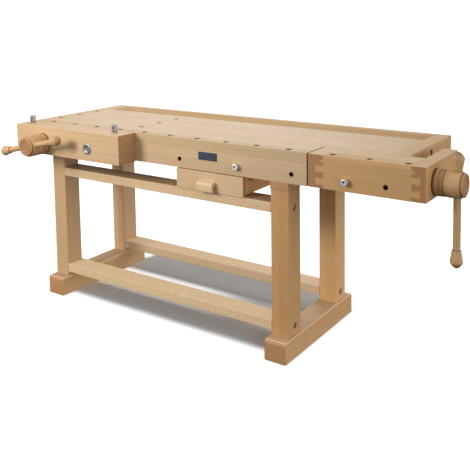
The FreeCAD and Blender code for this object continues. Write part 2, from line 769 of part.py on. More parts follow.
# Tommy bar: a dowel with a pear shaped knob glued on each end.
bar_profile = [(0, 0), (bar_d / 2, 0), (bar_d / 2, 2 * bar_half), (0, 2 * bar_half)]
knob_profile = [
    (0, 0), (15.2, 0), (16, 1), (17.2, 7), (19, 17), (20.8, 28), (22.4, 37), (knob_r, 42.5), (knob_r - 0.4, 45),
    (20.6, 50), (17.2, 55), (12.8, 60), (8.2, 64), (4, 66.3), (0, knob_l),
]
bar_y = hub_y - bar_at
ca, sa = math.cos(math.radians(12.7)), math.sin(math.radians(12.7))
tilt_cos = cell("front_handle_cos", ca)
tilt_sin = cell("front_handle_sin", sa)
toward_right = Rotation(Vector(0, 1, 0), 90 - 12.7)
toward_left = Rotation(Vector(0, 1, 0), -90 - 12.7)
bx, bz2 = fs_x - bar_half * tilt_cos, fs_z - bar_half * tilt_sin
ex, ez = fs_x + bar_half * tilt_cos, fs_z + bar_half * tilt_sin
parts["front_handle_bar"] = turned("front_handle_bar", bar_profile, bx, bar_y, bz2, toward_right)
parts["front_knob_left"] = turned("front_knob_left", knob_profile, bx, bar_y, bz2, toward_left)
parts["front_knob_right"] = turned("front_knob_right", knob_profile, ex, bar_y, ez, toward_right)

# Iron nut behind the apron: a square flange with a boss.
plate = cuboid("front_nut_plate", 52, 8, 60, fs_x - 26, apron_t, slab_z - 62)
boss = cyl("front_nut_boss", 18.4, 55, fs_x, apron_t, fs_z, ALONG_Y)
bore = cyl("front_nut_bore", screw_d / 2 + slip, 80, fs_x, apron_t - 5, fs_z, ALONG_Y)
n = cut("front_nut", fuse("front_nut_solid", [plate, boss]), bore)
n.Label = "front_nut"
parts["front_nut"] = n

plate = cuboid("front_socket_plate", 96, 8, 60, fg_x - 48, apron_t, slab_z - 62)
boss = cyl("front_socket_boss", 19.6, 78, fg_x, apron_t, fg_z, ALONG_Y)
bore = cyl("front_socket_bore", fg_d / 2 + slip, 100, fg_x, apron_t - 5, fg_z, ALONG_Y)
n = cut("front_guide_socket", fuse("front_socket_solid", [plate, boss]), bore)
n.Label = "front_guide_socket"
parts["front_guide_socket"] = n

blk = cuboid("front_guide_timber", 70, 40, 54, fg_x - 35, 196, slab_z - 54)
bore = cyl("front_guide_timber_bore", fg_d / 2 + slip, 60, fg_x, 186, fg_z, ALONG_Y)
n = cut("front_guide_block", blk, bore)
n.Label = "front_guide_block"
parts["front_guide_block"] = n

# ---------------------------------------------------------------- tail vise
tails_z = [(806, 11, 14.5), (757, 11, 14.5)]      # centre height, half root, half tip


def tail_edge(x_root, x_tip, x_stub):
    """The dovetail outline at one end, from the bottom up: two tails and a small stub."""
    pts = []
    for zc, a, c in reversed(tails_z):
        z = wrap(zc) - edge_z
        pts += [(x_root, z - a), (x_tip, z - c), (x_tip, z + c), (x_root, z + a)]
    z = wrap(835.5) - edge_z
    pts += [(x_root, z - 4.5), (x_stub, z - 4.5), (x_stub, z + 4.5), (x_root, z + 4.5)]
    return pts


# Front board: its tails run into both end pieces and show on the face.
xl = tv_jaw - tv_lap_l                       # length of a left tail
root_l, tip_l, stub_l = xl, wrap(0), xl - 13
full = (tv_end - tv_lap_r) - (tv_x + tv_lap_l)
root_r, tip_r, stub_r = full - (tv_blk - tv_lap_r), full, full - (tv_blk - tv_lap_r) + 13
left_pts = tail_edge(root_l, tip_l, stub_l)
right_pts = tail_edge(root_r, tip_r, stub_r)
outline = [(root_l, wrap(0))] + [(root_r, wrap(0))] + right_pts + [(root_r, edge_h), (root_l, edge_h)] + list(reversed(left_pts))
b = new_body("tail_front_board")
s = sketch(b, "XZ_Plane", "tail_front_board_face")
polygon(s, outline)
pad(b, s, tv_board, "tail_front_board_blank", True)
bx0 = tv_x + tv_lap_l
drill_down(b, "tail_front_board_dog_holes", [(tail_row + tail_pitch * k - bx0, row_y) for k in range(2)], hole_d, edge_h, edge_h)
drill_back(b, "tail_front_board_face_holes", [(v - bx0, face_z - edge_z) for v in (tail_face_a, tail_face_b)], face_d, tv_board)
drill_down(b, "tail_front_board_last_hole", [(tail_row + tail_pitch * 2 - bx0, row_y)], hole_d, edge_h, edge_h)
set_place(b, bx0, 0, edge_z)
parts["tail_front_board"] = b

b = board("tail_jaw_block", tv_x, 0, edge_z, tv_jaw, tv_strip, edge_h)
s = sketch(b, "XZ_Plane", "tail_jaw_sockets")
for zc, a, c in tails_z:
    z = wrap(zc) - edge_z
    polygon(s, [(tv_jaw, z - a), (tv_jaw, z + a), (tv_lap_l, z + c), (tv_lap_l, z - c)])
z = wrap(835.5) - edge_z
polygon(s, [(tv_jaw, z - 4.5), (tv_jaw, z + 4.5), (tv_jaw - 13, z + 4.5), (tv_jaw - 13, z - 4.5)])
pocket(b, s, tv_board, "tail_jaw_socket")
parts["tail_jaw_block"] = b

b = board("tail_end_block", tv_end - tv_blk, 0, edge_z, tv_blk, tv_back, edge_h)
s = sketch(b, "XZ_Plane", "tail_end_sockets")
deep = tv_blk - tv_lap_r
for zc, a, c in tails_z:
    z = wrap(zc) - edge_z
    polygon(s, [(0, z - a), (deep, z - c), (deep, z + c), (0, z + a)])
z = wrap(835.5) - edge_z
polygon(s, [(0, z - 4.5), (13, z - 4.5), (13, z + 4.5), (0, z + 4.5)])
pocket(b, s, tv_board, "tail_end_socket")
drill_left(b, "tail_end_screw_hole", [(ts_y, ts_z - edge_z)], screw_d + 2 * slip, tv_blk + 1, tv_blk)
drill_right(b, "tail_end_guide_hole", [(tg_y, tg_z - edge_z)], tg_d, 32)
parts["tail_end_block"] = b

parts["tail_top_strip"] = board(
    "tail_top_strip", tv_x + tv_jaw, tv_board, top_z - tv_strip_t, tv_end - tv_blk - tv_x - tv_jaw, tv_strip - tv_board, tv_strip_t
)
tg_len = tv_end - tv_blk + 32 - tg_x
parts["tail_guide_bar"] = turned(
    "tail_guide_bar",
    [(0, 0), (tg_d / 2 - 1.5, 0), (tg_d / 2, 1.5), (tg_d / 2, tg_len), (0, tg_len)],
    tg_x, tg_y, tg_z, ALONG_X,
)
parts["tail_flange"] = turned(
    "tail_flange",
    [(screw_d / 2 + slip, 0), (flange_d / 2, 0), (flange_d / 2, flange_t - 1), (flange_d / 2 - 1, flange_t), (screw_d / 2 + slip, flange_t)],
    tv_end, ts_y, ts_z, ALONG_X,
)
hub_x = tv_end + flange_t + hub_gap
# The cross hole stands upright, so the hub is turned a quarter about its own axis.
parts["tail_hub"] = hub("tail_hub", hub_x, ts_y, ts_z, ALONG_X, 90)
ts_start = tv_x + tv_jaw + 14
parts["tail_screw_rod"] = turned(
    "tail_screw_rod",
    [(0, 0), (screw_d / 2 - 2, 0), (screw_d / 2, 2), (screw_d / 2, hub_x + 51.5 - ts_start), (0, hub_x + 51.5 - ts_start)],
    ts_start, ts_y, ts_z, ALONG_X,
)
bar_x = hub_x + bar_at
drop = bar_half - hub_r - 0.6          # the bar hangs by its upper knob
parts["tail_handle_bar"] = turned("tail_handle_bar", bar_profile, bar_x, ts_y, ts_z - bar_half - drop)
parts["tail_knob_top"] = turned("tail_knob_top", knob_profile, bar_x, ts_y, ts_z + bar_half - drop)
parts["tail_knob_bottom"] = turned(
    "tail_knob_bottom", knob_profile, bar_x, ts_y, ts_z - bar_half - drop, Rotation(Vector(1, 0, 0), 180)
)

# Nut in the cap's tongue: a flanged iron bush.
parts["tail_nut"] = turned(
    "tail_nut",
    [(screw_d / 2 + slip, 0), (22.9, 0), (22.9, cap_r), (29, cap_r), (29, cap_r + 6), (screw_d / 2 + slip, cap_r + 6)],
    top_len - cap_r, ts_y, ts_z, ALONG_X,
)
blk = cuboid("tail_guide_timber", 50, 60, 58, 1690, tg_y - 30, slab_z - 58)
bore = cyl("tail_guide_timber_bore", tg_d / 2 + slip, 70, 1680, tg_y, tg_z, ALONG_X)
n = cut("tail_guide_block", blk, bore)
n.Label = "tail_guide_block"
parts["tail_guide_block"] = n

# ---------------------------------------------------------------- drawer
b = board("drawer_front", dr_x, 0, dr_z, dr_w, dr_t, dr_h)
parts["drawer_front"] = b
side_l = dr_len - dr_t
lx0 = dr_x + dr_in
rx0 = dr_x + dr_w - dr_in - dr_side
side_h = dr_h - 5
for side, sx in (("left", lx0), ("right", rx0)):
    # Each side carries a narrow lip along its top edge, which hangs on the runner.
    b = new_body("drawer_side_" + side)
    s = sketch(b, "XZ_Plane", "drawer_side_%s_section" % side)
    if side == "left":
        polygon(s, [(lip_w, 0), (lip_w + dr_side, 0), (lip_w + dr_side, side_h), (0, side_h), (0, side_h - lip_h), (lip_w, side_h - lip_h)])
        ox = sx - lip_w
    else:
        polygon(s, [(0, 0), (dr_side, 0), (dr_side, side_h - lip_h), (dr_side + lip_w, side_h - lip_h), (dr_side + lip_w, side_h), (0, side_h)])
        ox = sx
    pad(b, s, side_l, "drawer_side_%s_blank" % side, True)
    set_place(b, ox, dr_t, dr_z)
    parts["drawer_side_" + side] = b
inner = rx0 - lx0 - dr_side
parts["drawer_back"] = board("drawer_back", lx0 + dr_side, dr_len - dr_side, dr_z + dr_bot + 4, inner, dr_side, side_h - dr_bot - 8)
parts["drawer_bottom"] = board("drawer_bottom", lx0 + dr_side, dr_t, dr_z + 4, inner, side_l, dr_bot)

# Pull: a block with a rounded top front edge and a finger groove behind, open below.
b = new_body("drawer_pull")
s = sketch(b, "YZ_Plane", "drawer_pull_section")
ph, pd = pull_h, pull_d
polygon(
    s,
    [
        (pd - 12, 0), (pd - 12, 19), (pd - 9, 24), (pd - 4, 27), (pd, 28), (pd, ph), (13, ph), (8.5, ph - 0.8),
        (4.5, ph - 3), (1.6, ph - 7), (0.3, ph - 12), (0, 24), (0, 5), (1.2, 2), (4, 0),
    ],
)
pad(b, s, pull_w, "drawer_pull_blank")
set_place(b, dr_x + pull_x, -pull_d, dr_z + 4)
parts["drawer_pull"] = b

# Runners: L shaped cleats under the top, one each side of the drawer.
run_y = apron_t + 1
run_l = 380
foot_top = dr_z + side_h - lip_h - 0.4
runs = []
for side, wall_x, lip_x in (
    ("left", lx0 - lip_w - 1 - 12, lx0 - lip_w - 1 - 12),
    ("right", rx0 + dr_side + lip_w + 1, rx0 + dr_side + 1),
):
    wall = cuboid("runner_wall_" + side, 12, run_l, slab_z - foot_top + 9, wall_x, run_y, foot_top - 9)
    foot = cuboid("runner_foot_" + side, 12 + lip_w, run_l, 9, lip_x, run_y, foot_top - 9)
    runs.append(fuse("runner_" + side, [wall, foot]))
parts["drawer_runners"] = group("drawer_runners", runs)

# ---------------------------------------------------------------- dogs
# Round dogs: a thick head with a drilled centre and a plain shank.
def dog(label, shank_r, shank_l, head_r, head_l, x, y, z, rot=None):
    return turned(
        label,
        [
            (0, 0), (shank_r - 1.5, 0), (shank_r, 2), (shank_r, shank_l), (head_r - 0.8, shank_l), (head_r, shank_l + 0.8),
            (head_r, shank_l + head_l - 1.6), (head_r - 1.6, shank_l + head_l), (7, shank_l + head_l), (5.4, shank_l + head_l - 1.6),
            (5.4, shank_l + head_l - 16), (0, shank_l + head_l - 19),
        ],
        x, y, z, rot,
    )


sr = hole_d / 2 - slip
for k, v in (("left", jd_a), ("right", jd_b)):
    parts["jaw_dog_" + k] = dog("jaw_dog_" + k, sr, wrap(80), wrap(13.2), wrap(37), v, jaw_y + jaw_t - jd_y, top_z - 79.9)
fr = face_d / 2 - slip
parts["apron_dog"] = dog("apron_dog", fr, wrap(50), wrap(14), wrap(18), face_b, 49.9, face_z - 0, ALONG_NEG_Y)
parts["tail_dog"] = dog("tail_dog", fr, wrap(50), wrap(14), wrap(18), tail_face_a, 49.9, face_z - 0, ALONG_NEG_Y)

# ---------------------------------------------------------------- checks and export
doc.recompute()
for o in doc.Objects:
    if "Invalid" in o.State or "Error" in o.State:
        raise RuntimeError("object failed: %s %s" % (o.Name, o.State))
box = FreeCAD.BoundBox()
for name in sorted(parts):
    o = parts[name]
    o.Label = name
    sh = o.Shape
    if sh.isNull() or not sh.isValid():
        raise RuntimeError("bad shape: " + name)
    if not sh.Solids:
        raise RuntimeError("no solid: " + name)
    box.add(sh.optimalBoundingBox(False))
    print("%-22s solids %2d  faces %3d  volume %.1f cm3" % (name, len(sh.Solids), len(sh.Faces), sh.Volume / 1000))
print("nodes", len(parts))
print("box x %.3f %.3f  y %.3f %.3f  z %.3f %.3f" % (box.XMin, box.XMax, box.YMin, box.YMax, box.ZMin, box.ZMax))
os.makedirs("parts", exist_ok=True)
for name in sorted(parts):
    parts[name].Shape.exportStep("parts/%s.step" % name)
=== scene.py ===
import bpy, bmesh, math, json
from math import radians, sin, cos, pi
from mathutils import Vector, Matrix
from mathutils.bvhtree import BVHTree

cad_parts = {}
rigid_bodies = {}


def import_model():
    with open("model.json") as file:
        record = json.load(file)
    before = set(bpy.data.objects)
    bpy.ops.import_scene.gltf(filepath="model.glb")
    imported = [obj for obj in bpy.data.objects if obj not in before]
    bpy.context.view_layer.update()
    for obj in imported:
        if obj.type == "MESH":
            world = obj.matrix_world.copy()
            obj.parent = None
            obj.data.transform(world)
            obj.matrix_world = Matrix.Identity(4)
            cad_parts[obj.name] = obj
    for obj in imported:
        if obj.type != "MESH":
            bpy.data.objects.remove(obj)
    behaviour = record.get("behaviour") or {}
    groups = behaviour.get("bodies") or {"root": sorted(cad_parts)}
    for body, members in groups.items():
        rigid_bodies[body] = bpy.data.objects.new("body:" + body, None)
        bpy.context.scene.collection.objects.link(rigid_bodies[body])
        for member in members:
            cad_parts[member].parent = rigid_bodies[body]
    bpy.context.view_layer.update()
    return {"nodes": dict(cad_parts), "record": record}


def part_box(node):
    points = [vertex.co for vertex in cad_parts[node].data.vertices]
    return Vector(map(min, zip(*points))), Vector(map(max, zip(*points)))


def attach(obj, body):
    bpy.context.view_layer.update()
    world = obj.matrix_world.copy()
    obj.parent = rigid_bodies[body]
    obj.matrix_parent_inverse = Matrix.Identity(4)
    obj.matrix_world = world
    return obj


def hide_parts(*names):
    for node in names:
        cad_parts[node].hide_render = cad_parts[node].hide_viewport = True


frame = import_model()
nodes = frame["nodes"]
bodies = frame["record"]["behaviour"]["bodies"]
body_of = {n: b for b, ns in bodies.items() for n in ns}

# Positions below are in millimetres from the bench's own corner: the left end of the
# top, the front face of the apron and the floor. The apron starts 72 mm from that end.
lo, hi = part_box("front_apron")
OX, OY = 72 - lo.x * 1000, -lo.y * 1000


def P(x, y, z):
    return Vector(((x - OX) / 1000, (y - OY) / 1000, z / 1000))


# ------------------------------------------------------------------ node trees
class Tree:
    def __init__(self, tree):
        self.t = tree
        self.n = tree.nodes
        self.l = tree.links

    def put(self, socket, v):
        if isinstance(v, bpy.types.NodeSocket):
            self.l.new(v, socket)
        elif isinstance(v, (int, float)):
            if hasattr(socket.default_value, "__len__"):
                socket.default_value = [v] * len(socket.default_value)
            else:
                socket.default_value = v
        elif v is not None:
            v = list(v)
            if len(socket.default_value) == 4 and len(v) == 3:
                v = v + [1.0]
            socket.default_value = v

    def math(self, op, a, b=None, c=None, clamp=False):
        n = self.n.new("ShaderNodeMath")
        n.operation = op
        n.use_clamp = clamp
        for i, v in enumerate((a, b, c)):
            if v is not None:
                self.put(n.inputs[i], v)
        return n.outputs[0]

    def vec(self, x, y, z):
        n = self.n.new("ShaderNodeCombineXYZ")
        for i, v in enumerate((x, y, z)):
            self.put(n.inputs[i], v)
        return n.outputs[0]

    def sep(self, v):
        n = self.n.new("ShaderNodeSeparateXYZ")
        self.l.new(v, n.inputs[0])
        return n.outputs[0], n.outputs[1], n.outputs[2]

    def noise(self, v, scale=1.0, detail=2.0, rough=0.5, dist=0.0):
        n = self.n.new("ShaderNodeTexNoise")
        n.noise_dimensions = "3D"
        self.l.new(v, n.inputs["Vector"])
        n.inputs["Scale"].default_value = scale
        n.inputs["Detail"].default_value = detail
        n.inputs["Roughness"].default_value = rough
        n.inputs["Distortion"].default_value = dist
        return n.outputs[0]

    def voronoi(self, v, scale=1.0, randomness=1.0, feature="F1"):
        n = self.n.new("ShaderNodeTexVoronoi")
        n.feature = feature
        self.l.new(v, n.inputs["Vector"])
        n.inputs["Scale"].default_value = scale
        n.inputs["Randomness"].default_value = randomness
        return n.outputs["Distance"], n.outputs["Color"]

    def white(self, w):
        n = self.n.new("ShaderNodeTexWhiteNoise")
        n.noise_dimensions = "1D"
        self.put(n.inputs["W"], w)
        s = self.n.new("ShaderNodeSeparateColor")
        self.l.new(n.outputs["Color"], s.inputs[0])
        return s.outputs[0], s.outputs[1], s.outputs[2]

    def smooth(self, v, a, b, to0=0.0, to1=1.0):
        n = self.n.new("ShaderNodeMapRange")
        n.interpolation_type = "SMOOTHSTEP"
        self.put(n.inputs["Value"], v)
        n.inputs["From Min"].default_value = a
        n.inputs["From Max"].default_value = b
        n.inputs["To Min"].default_value = to0
        n.inputs["To Max"].default_value = to1
        return n.outputs[0]

    def mix(self, fac, a, b, blend="MIX"):
        n = self.n.new("ShaderNodeMix")
        n.data_type = "RGBA"
        n.blend_type = blend
        n.clamp_factor = True
        self.put(n.inputs[0], fac)
        self.put(n.inputs[6], a)
        self.put(n.inputs[7], b)
        return n.outputs[2]

    def scale_col(self, col, k):
        n = self.n.new("ShaderNodeVectorMath")
        n.operation = "SCALE"
        self.put(n.inputs[0], col)
        self.put(n.inputs["Scale"], k)
        return n.outputs[0]

    def face_normal(self):
        """The flat face's normal in the object's own frame."""
        g = self.n.new("ShaderNodeNewGeometry")
        v = self.n.new("ShaderNodeVectorTransform")
        v.vector_type = "NORMAL"
        v.convert_from = "WORLD"
        v.convert_to = "OBJECT"
        self.l.new(g.outputs["True Normal"], v.inputs[0])
        return self.sep(v.outputs[0])

    def attr(self, name):
        n = self.n.new("ShaderNodeAttribute")
        n.attribute_name = name
        return n.outputs["Fac"]

    def bump(self, height, strength, distance, normal=None):
        n = self.n.new("ShaderNodeBump")
        self.put(n.inputs["Height"], height)
        n.inputs["Strength"].default_value = strength
        n.inputs["Distance"].default_value = distance
        if normal is not None:
            self.l.new(normal, n.inputs["Normal"])
        return n.outputs[0]


def material(name):
    m = bpy.data.materials.new(name)
    m.use_nodes = True
    t = Tree(m.node_tree)
    bsdf = next(n for n in t.n if n.type == "BSDF_PRINCIPLED")
    return m, t, bsdf


# ------------------------------------------------------------------ beech
LIGHT = (0.650, 0.474, 0.268)
WARM = (0.560, 0.384, 0.198)
PINK = (0.662, 0.462, 0.288)
RING = (0.470, 0.290, 0.150)
FLECK = (0.330, 0.190, 0.095)
END = (0.430, 0.238, 0.112)


def beech(name, axis, lam=None, width=0.045, offset=0.0, seed=0.0, tone=1.0, fleck=1.0, quarter=0.35, end=1.0,
          warm=0.0, vary=1.0, rough=0.0, cut=0.62, ray=0.0):
    """Oiled beech with its grain along axis. lam is the direction, U or V, that the
    board is glued up in, in strips of the given width. warm is how far it has ambered, and since the tops take little
    of it, it also paints the sides warmer than the tops: painted light."""
    m, t, bsdf = material(name)
    tc = t.n.new("ShaderNodeTexCoord")
    x, y, z = t.sep(tc.outputs["Object"])
    nx, ny, nz = t.face_normal()
    L, U, V, N = {"X": (x, y, z, nx), "Y": (y, x, z, ny), "Z": (z, x, y, nz)}[axis]
    if lam:
        s = U if lam == "U" else V
        cellpos = t.math("DIVIDE", t.math("ADD", s, offset), width)
        idn = t.math("FLOOR", cellpos)
        r1, r2, r3 = t.white(t.math("ADD", t.math("MULTIPLY", idn, 7.131), seed + 0.37))
        frac = t.math("FRACT", cellpos)
        line = t.math("MINIMUM", frac, t.math("SUBTRACT", 1.0, frac))
        glue = t.smooth(line, 0.0, 0.00045 / width, 1.0, 0.0)
    else:
        k = (seed * 0.6180339) % 1.0
        r1, r2, r3 = (k, (k * 3.7) % 1.0, (k * 9.1) % 1.0)
        glue = None
    shift = t.math("MULTIPLY", r1, 31.0)
    Ls = t.math("ADD", L, shift)
    # slow waver of the fibres, and the distance from the tree's heart
    wav = t.noise(t.vec(t.math("MULTIPLY", Ls, 1.3), t.math("MULTIPLY", U, 5.0), t.math("MULTIPLY", V, 5.0)), 1.0, 2.0)
    wav = t.math("SUBTRACT", wav, 0.5)
    cu = t.math("MULTIPLY", t.math("SUBTRACT", r2, 0.5), 0.22)
    cv = t.math("ADD", t.math("MULTIPLY", r3, 0.12), 0.05)
    du = t.math("ADD", t.math("SUBTRACT", U, cu), t.math("MULTIPLY", wav, 0.035))
    dv = t.math("ADD", t.math("ADD", t.math("SUBTRACT", V, 0.8), cv), t.math("MULTIPLY", wav, 0.028))
    R = t.math("SQRT", t.math("ADD", t.math("MULTIPLY", du, du), t.math("MULTIPLY", dv, dv)))
    jit = t.noise(t.vec(t.math("MULTIPLY", Ls, 3.0), t.math("MULTIPLY", U, 40.0), t.math("MULTIPLY", V, 40.0)), 1.0, 3.0)
    ring = t.math("FRACT", t.math("ADD", t.math("MULTIPLY", R, 260.0), t.math("MULTIPLY", jit, 0.9)))
    late = t.math("POWER", ring, 5.0)
    # fibres: fine, middling and broad streaks along the grain
    fine = t.noise(t.vec(t.math("MULTIPLY", Ls, 14.0), t.math("MULTIPLY", U, 1400.0), t.math("MULTIPLY", V, 1400.0)), 1.0, 2.0, 0.6)
    mid = t.noise(t.vec(t.math("MULTIPLY", Ls, 2.2), t.math("MULTIPLY", U, 130.0), t.math("MULTIPLY", V, 130.0)), 1.0, 4.0, 0.62)
    broad = t.noise(t.vec(t.math("MULTIPLY", Ls, 0.9), t.math("MULTIPLY", U, 22.0), t.math("MULTIPLY", V, 22.0)), 1.0, 3.0, 0.55)
    # ray flecks: short dark dashes, and broader ones on quartered faces
    d1, c1 = t.voronoi(t.vec(t.math("MULTIPLY", Ls, 330.0), t.math("MULTIPLY", U, 1500.0), t.math("MULTIPLY", V, 1500.0)))
    f1 = t.smooth(d1, 0.10, 0.34, 1.0, 0.0)
    d2, c2 = t.voronoi(t.vec(t.math("MULTIPLY", Ls, 120.0), t.math("MULTIPLY", U, 330.0), t.math("MULTIPLY", V, 330.0)))
    patch = t.math("MAXIMUM", t.smooth(broad, 0.44, 0.62), ray)
    f2 = t.math("MULTIPLY", t.smooth(d2, 0.12, 0.36, 1.0, 0.0), patch)

    col = t.mix(t.smooth(broad, 0.30, 0.70), LIGHT, PINK)
    col = t.mix(t.smooth(mid, 0.40, 0.78, 0.0, 0.75), col, WARM)
    col = t.mix(t.math("MULTIPLY", late, 0.34), col, RING)
    col = t.mix(t.math("MULTIPLY", f1, 0.38 * fleck), col, FLECK)
    col = t.mix(t.math("MULTIPLY", f2, quarter), col, FLECK)
    if ray:
        d3, c3 = t.voronoi(t.vec(t.math("MULTIPLY", Ls, 75.0), t.math("MULTIPLY", U, 210.0), t.math("MULTIPLY", V, 210.0)))
        col = t.mix(t.smooth(d3, 0.10, 0.34, 0.62 * ray, 0.0), col, (0.400, 0.245, 0.130))
    k = t.math("ADD", 0.93, t.math("MULTIPLY", fine, 0.14))
    if lam:
        k = t.math("MULTIPLY", k, t.math("ADD", 1.0 - 0.09 * vary, t.math("MULTIPLY", r2, 0.16 * vary)))
        col = t.mix(t.math("MULTIPLY", r3, 0.30 * vary), col, (0.60, 0.385, 0.200))
    col = t.scale_col(col, t.math("MULTIPLY", k, tone))
    amber = (1.0 + 0.01 * warm, 1.0 - 0.15 * warm, 1.0 - 0.36 * warm)
    # painted sheen and side light: upward faces take little of the amber, so the tops read paler and the sides warmer
    sheen_pale_top = t.smooth(nz, 0.70, 0.95, 1.0, 0.12 if warm > 0 else 1.0)
    col = t.mix(sheen_pale_top, col, t.mix(1.0, col, amber, "MULTIPLY"))
    # end grain: darker, with the rings as arcs and small open pores
    pore, _ = t.voronoi(t.vec(t.math("MULTIPLY", U, 2600.0), t.math("MULTIPLY", V, 2600.0), t.math("MULTIPLY", L, 60.0)))
    ec = t.mix(t.math("MULTIPLY", late, 0.65), END, (0.235, 0.130, 0.062))
    ec = t.mix(t.smooth(pore, 0.05, 0.30, 0.55, 0.0), ec, (0.130, 0.070, 0.035))
    rays = t.noise(t.vec(t.math("MULTIPLY", U, 420.0), t.math("MULTIPLY", V, 60.0), t.math("MULTIPLY", L, 3.0)), 1.0, 3.0)
    ec = t.scale_col(ec, t.math("MULTIPLY", t.math("ADD", 0.84, t.math("MULTIPLY", rays, 0.32)), tone * end))
    ec = t.mix(1.0, ec, tuple(0.5 + 0.5 * a for a in amber), "MULTIPLY")
    endm = t.smooth(t.math("ABSOLUTE", N), cut, 0.86) if cut < 0.86 else t.math("MULTIPLY", N, 0.0)
    col = t.mix(endm, col, ec)
    if glue is not None:
        col = t.mix(t.math("MULTIPLY", glue, 0.55), col, (0.230, 0.130, 0.065))
    # worn arrises: paler and a little smoother
    wear = t.attr("wear")
    spots = t.noise(t.vec(t.math("MULTIPLY", x, 60.0), t.math("MULTIPLY", y, 60.0), t.math("MULTIPLY", z, 60.0)), 1.0, 3.0)
    wm = t.math("MULTIPLY", wear, t.smooth(spots, 0.25, 0.65, 0.25, 0.95))
    col = t.mix(t.math("MULTIPLY", wm, 0.40), col, (0.760, 0.575, 0.370))
    # darker where marked: in turned grooves, and painted shade in bores, recesses, the gap at the apron's end and on
    # shaded tops
    dirt_and_shade = t.attr("dirt_and_shade")
    shade_and_grime = t.math("MULTIPLY", dirt_and_shade, t.math("ADD", 0.35, t.math("MULTIPLY", spots, 0.5)))
    shade_and_grime = t.math("ADD", shade_and_grime, t.smooth(dirt_and_shade, 0.80, 1.0, 0.0, 0.45), clamp=True)
    col = t.mix(shade_and_grime, col, (0.150, 0.070, 0.032))
    t.l.new(col, bsdf.inputs["Base Color"])
    # handled wood: roughness drifts over the surface
    smear = t.noise(t.vec(t.math("MULTIPLY", x, 7.0), t.math("MULTIPLY", y, 7.0), t.math("MULTIPLY", z, 7.0)), 1.0, 4.0)
    rg = t.math("ADD", 0.40 + rough, t.math("MULTIPLY", smear, 0.16))
    rg = t.math("ADD", rg, t.math("MULTIPLY", endm, 0.14))
    rg = t.math("ADD", rg, t.math("MULTIPLY", late, 0.05))
    rg = t.math("SUBTRACT", rg, t.math("MULTIPLY", wm, 0.07), clamp=True)
    t.l.new(rg, bsdf.inputs["Roughness"])
    bsdf.inputs["Specular IOR Level"].default_value = 0.45
    hgt = t.math("ADD", t.math("MULTIPLY", fine, 0.5), t.math("MULTIPLY", late, -0.45))
    hgt = t.math("SUBTRACT", hgt, t.math("MULTIPLY", f1, 0.35))
    if glue is not None:
        hgt = t.math("SUBTRACT", hgt, t.math("MULTIPLY", glue, 0.8))
    t.l.new(t.bump(hgt, 0.35, 0.00025), bsdf.inputs["Normal"])
    return m


def plywood(name):
    """Beech faced plywood: a plain rotary cut face and a striped edge."""
    m, t, bsdf = material(name)
    tc = t.n.new("ShaderNodeTexCoord")
    x, y, z = t.sep(tc.outputs["Object"])
    nx, ny, nz = t.face_normal()
    fig = t.noise(t.vec(t.math("MULTIPLY", x, 2.0), t.math("MULTIPLY", y, 16.0), 0.0), 1.0, 5.0, 0.6, 1.2)
    fib = t.noise(t.vec(t.math("MULTIPLY", x, 20.0), t.math("MULTIPLY", y, 900.0), t.math("MULTIPLY", z, 900.0)), 1.0, 2.0)
    d1, _ = t.voronoi(t.vec(t.math("MULTIPLY", x, 300.0), t.math("MULTIPLY", y, 1200.0), t.math("MULTIPLY", z, 1200.0)))
    wave = t.math("SINE", t.math("MULTIPLY", fig, 60.0))
    col = t.mix(t.smooth(wave, -1.0, 1.0, 0.0, 0.35), (0.60, 0.43, 0.27), (0.53, 0.35, 0.20))
    col = t.mix(t.smooth(d1, 0.1, 0.3, 0.35, 0.0), col, FLECK)
    col = t.scale_col(col, t.math("ADD", 0.90, t.math("MULTIPLY", fib, 0.2)))
    plies = t.math("FRACT", t.math("MULTIPLY", z, 520.0))
    edge = t.mix(t.smooth(plies, 0.42, 0.58), (0.55, 0.38, 0.22), (0.30, 0.18, 0.09))
    col = t.mix(t.smooth(t.math("ABSOLUTE", nz), 0.5, 0.8), edge, col)
    t.l.new(col, bsdf.inputs["Base Color"])
    t.l.new(t.math("ADD", 0.46, t.math("MULTIPLY", fig, 0.15)), bsdf.inputs["Roughness"])
    t.l.new(t.bump(t.math("ADD", fib, plies), 0.2, 0.0002), bsdf.inputs["Normal"])
    return m


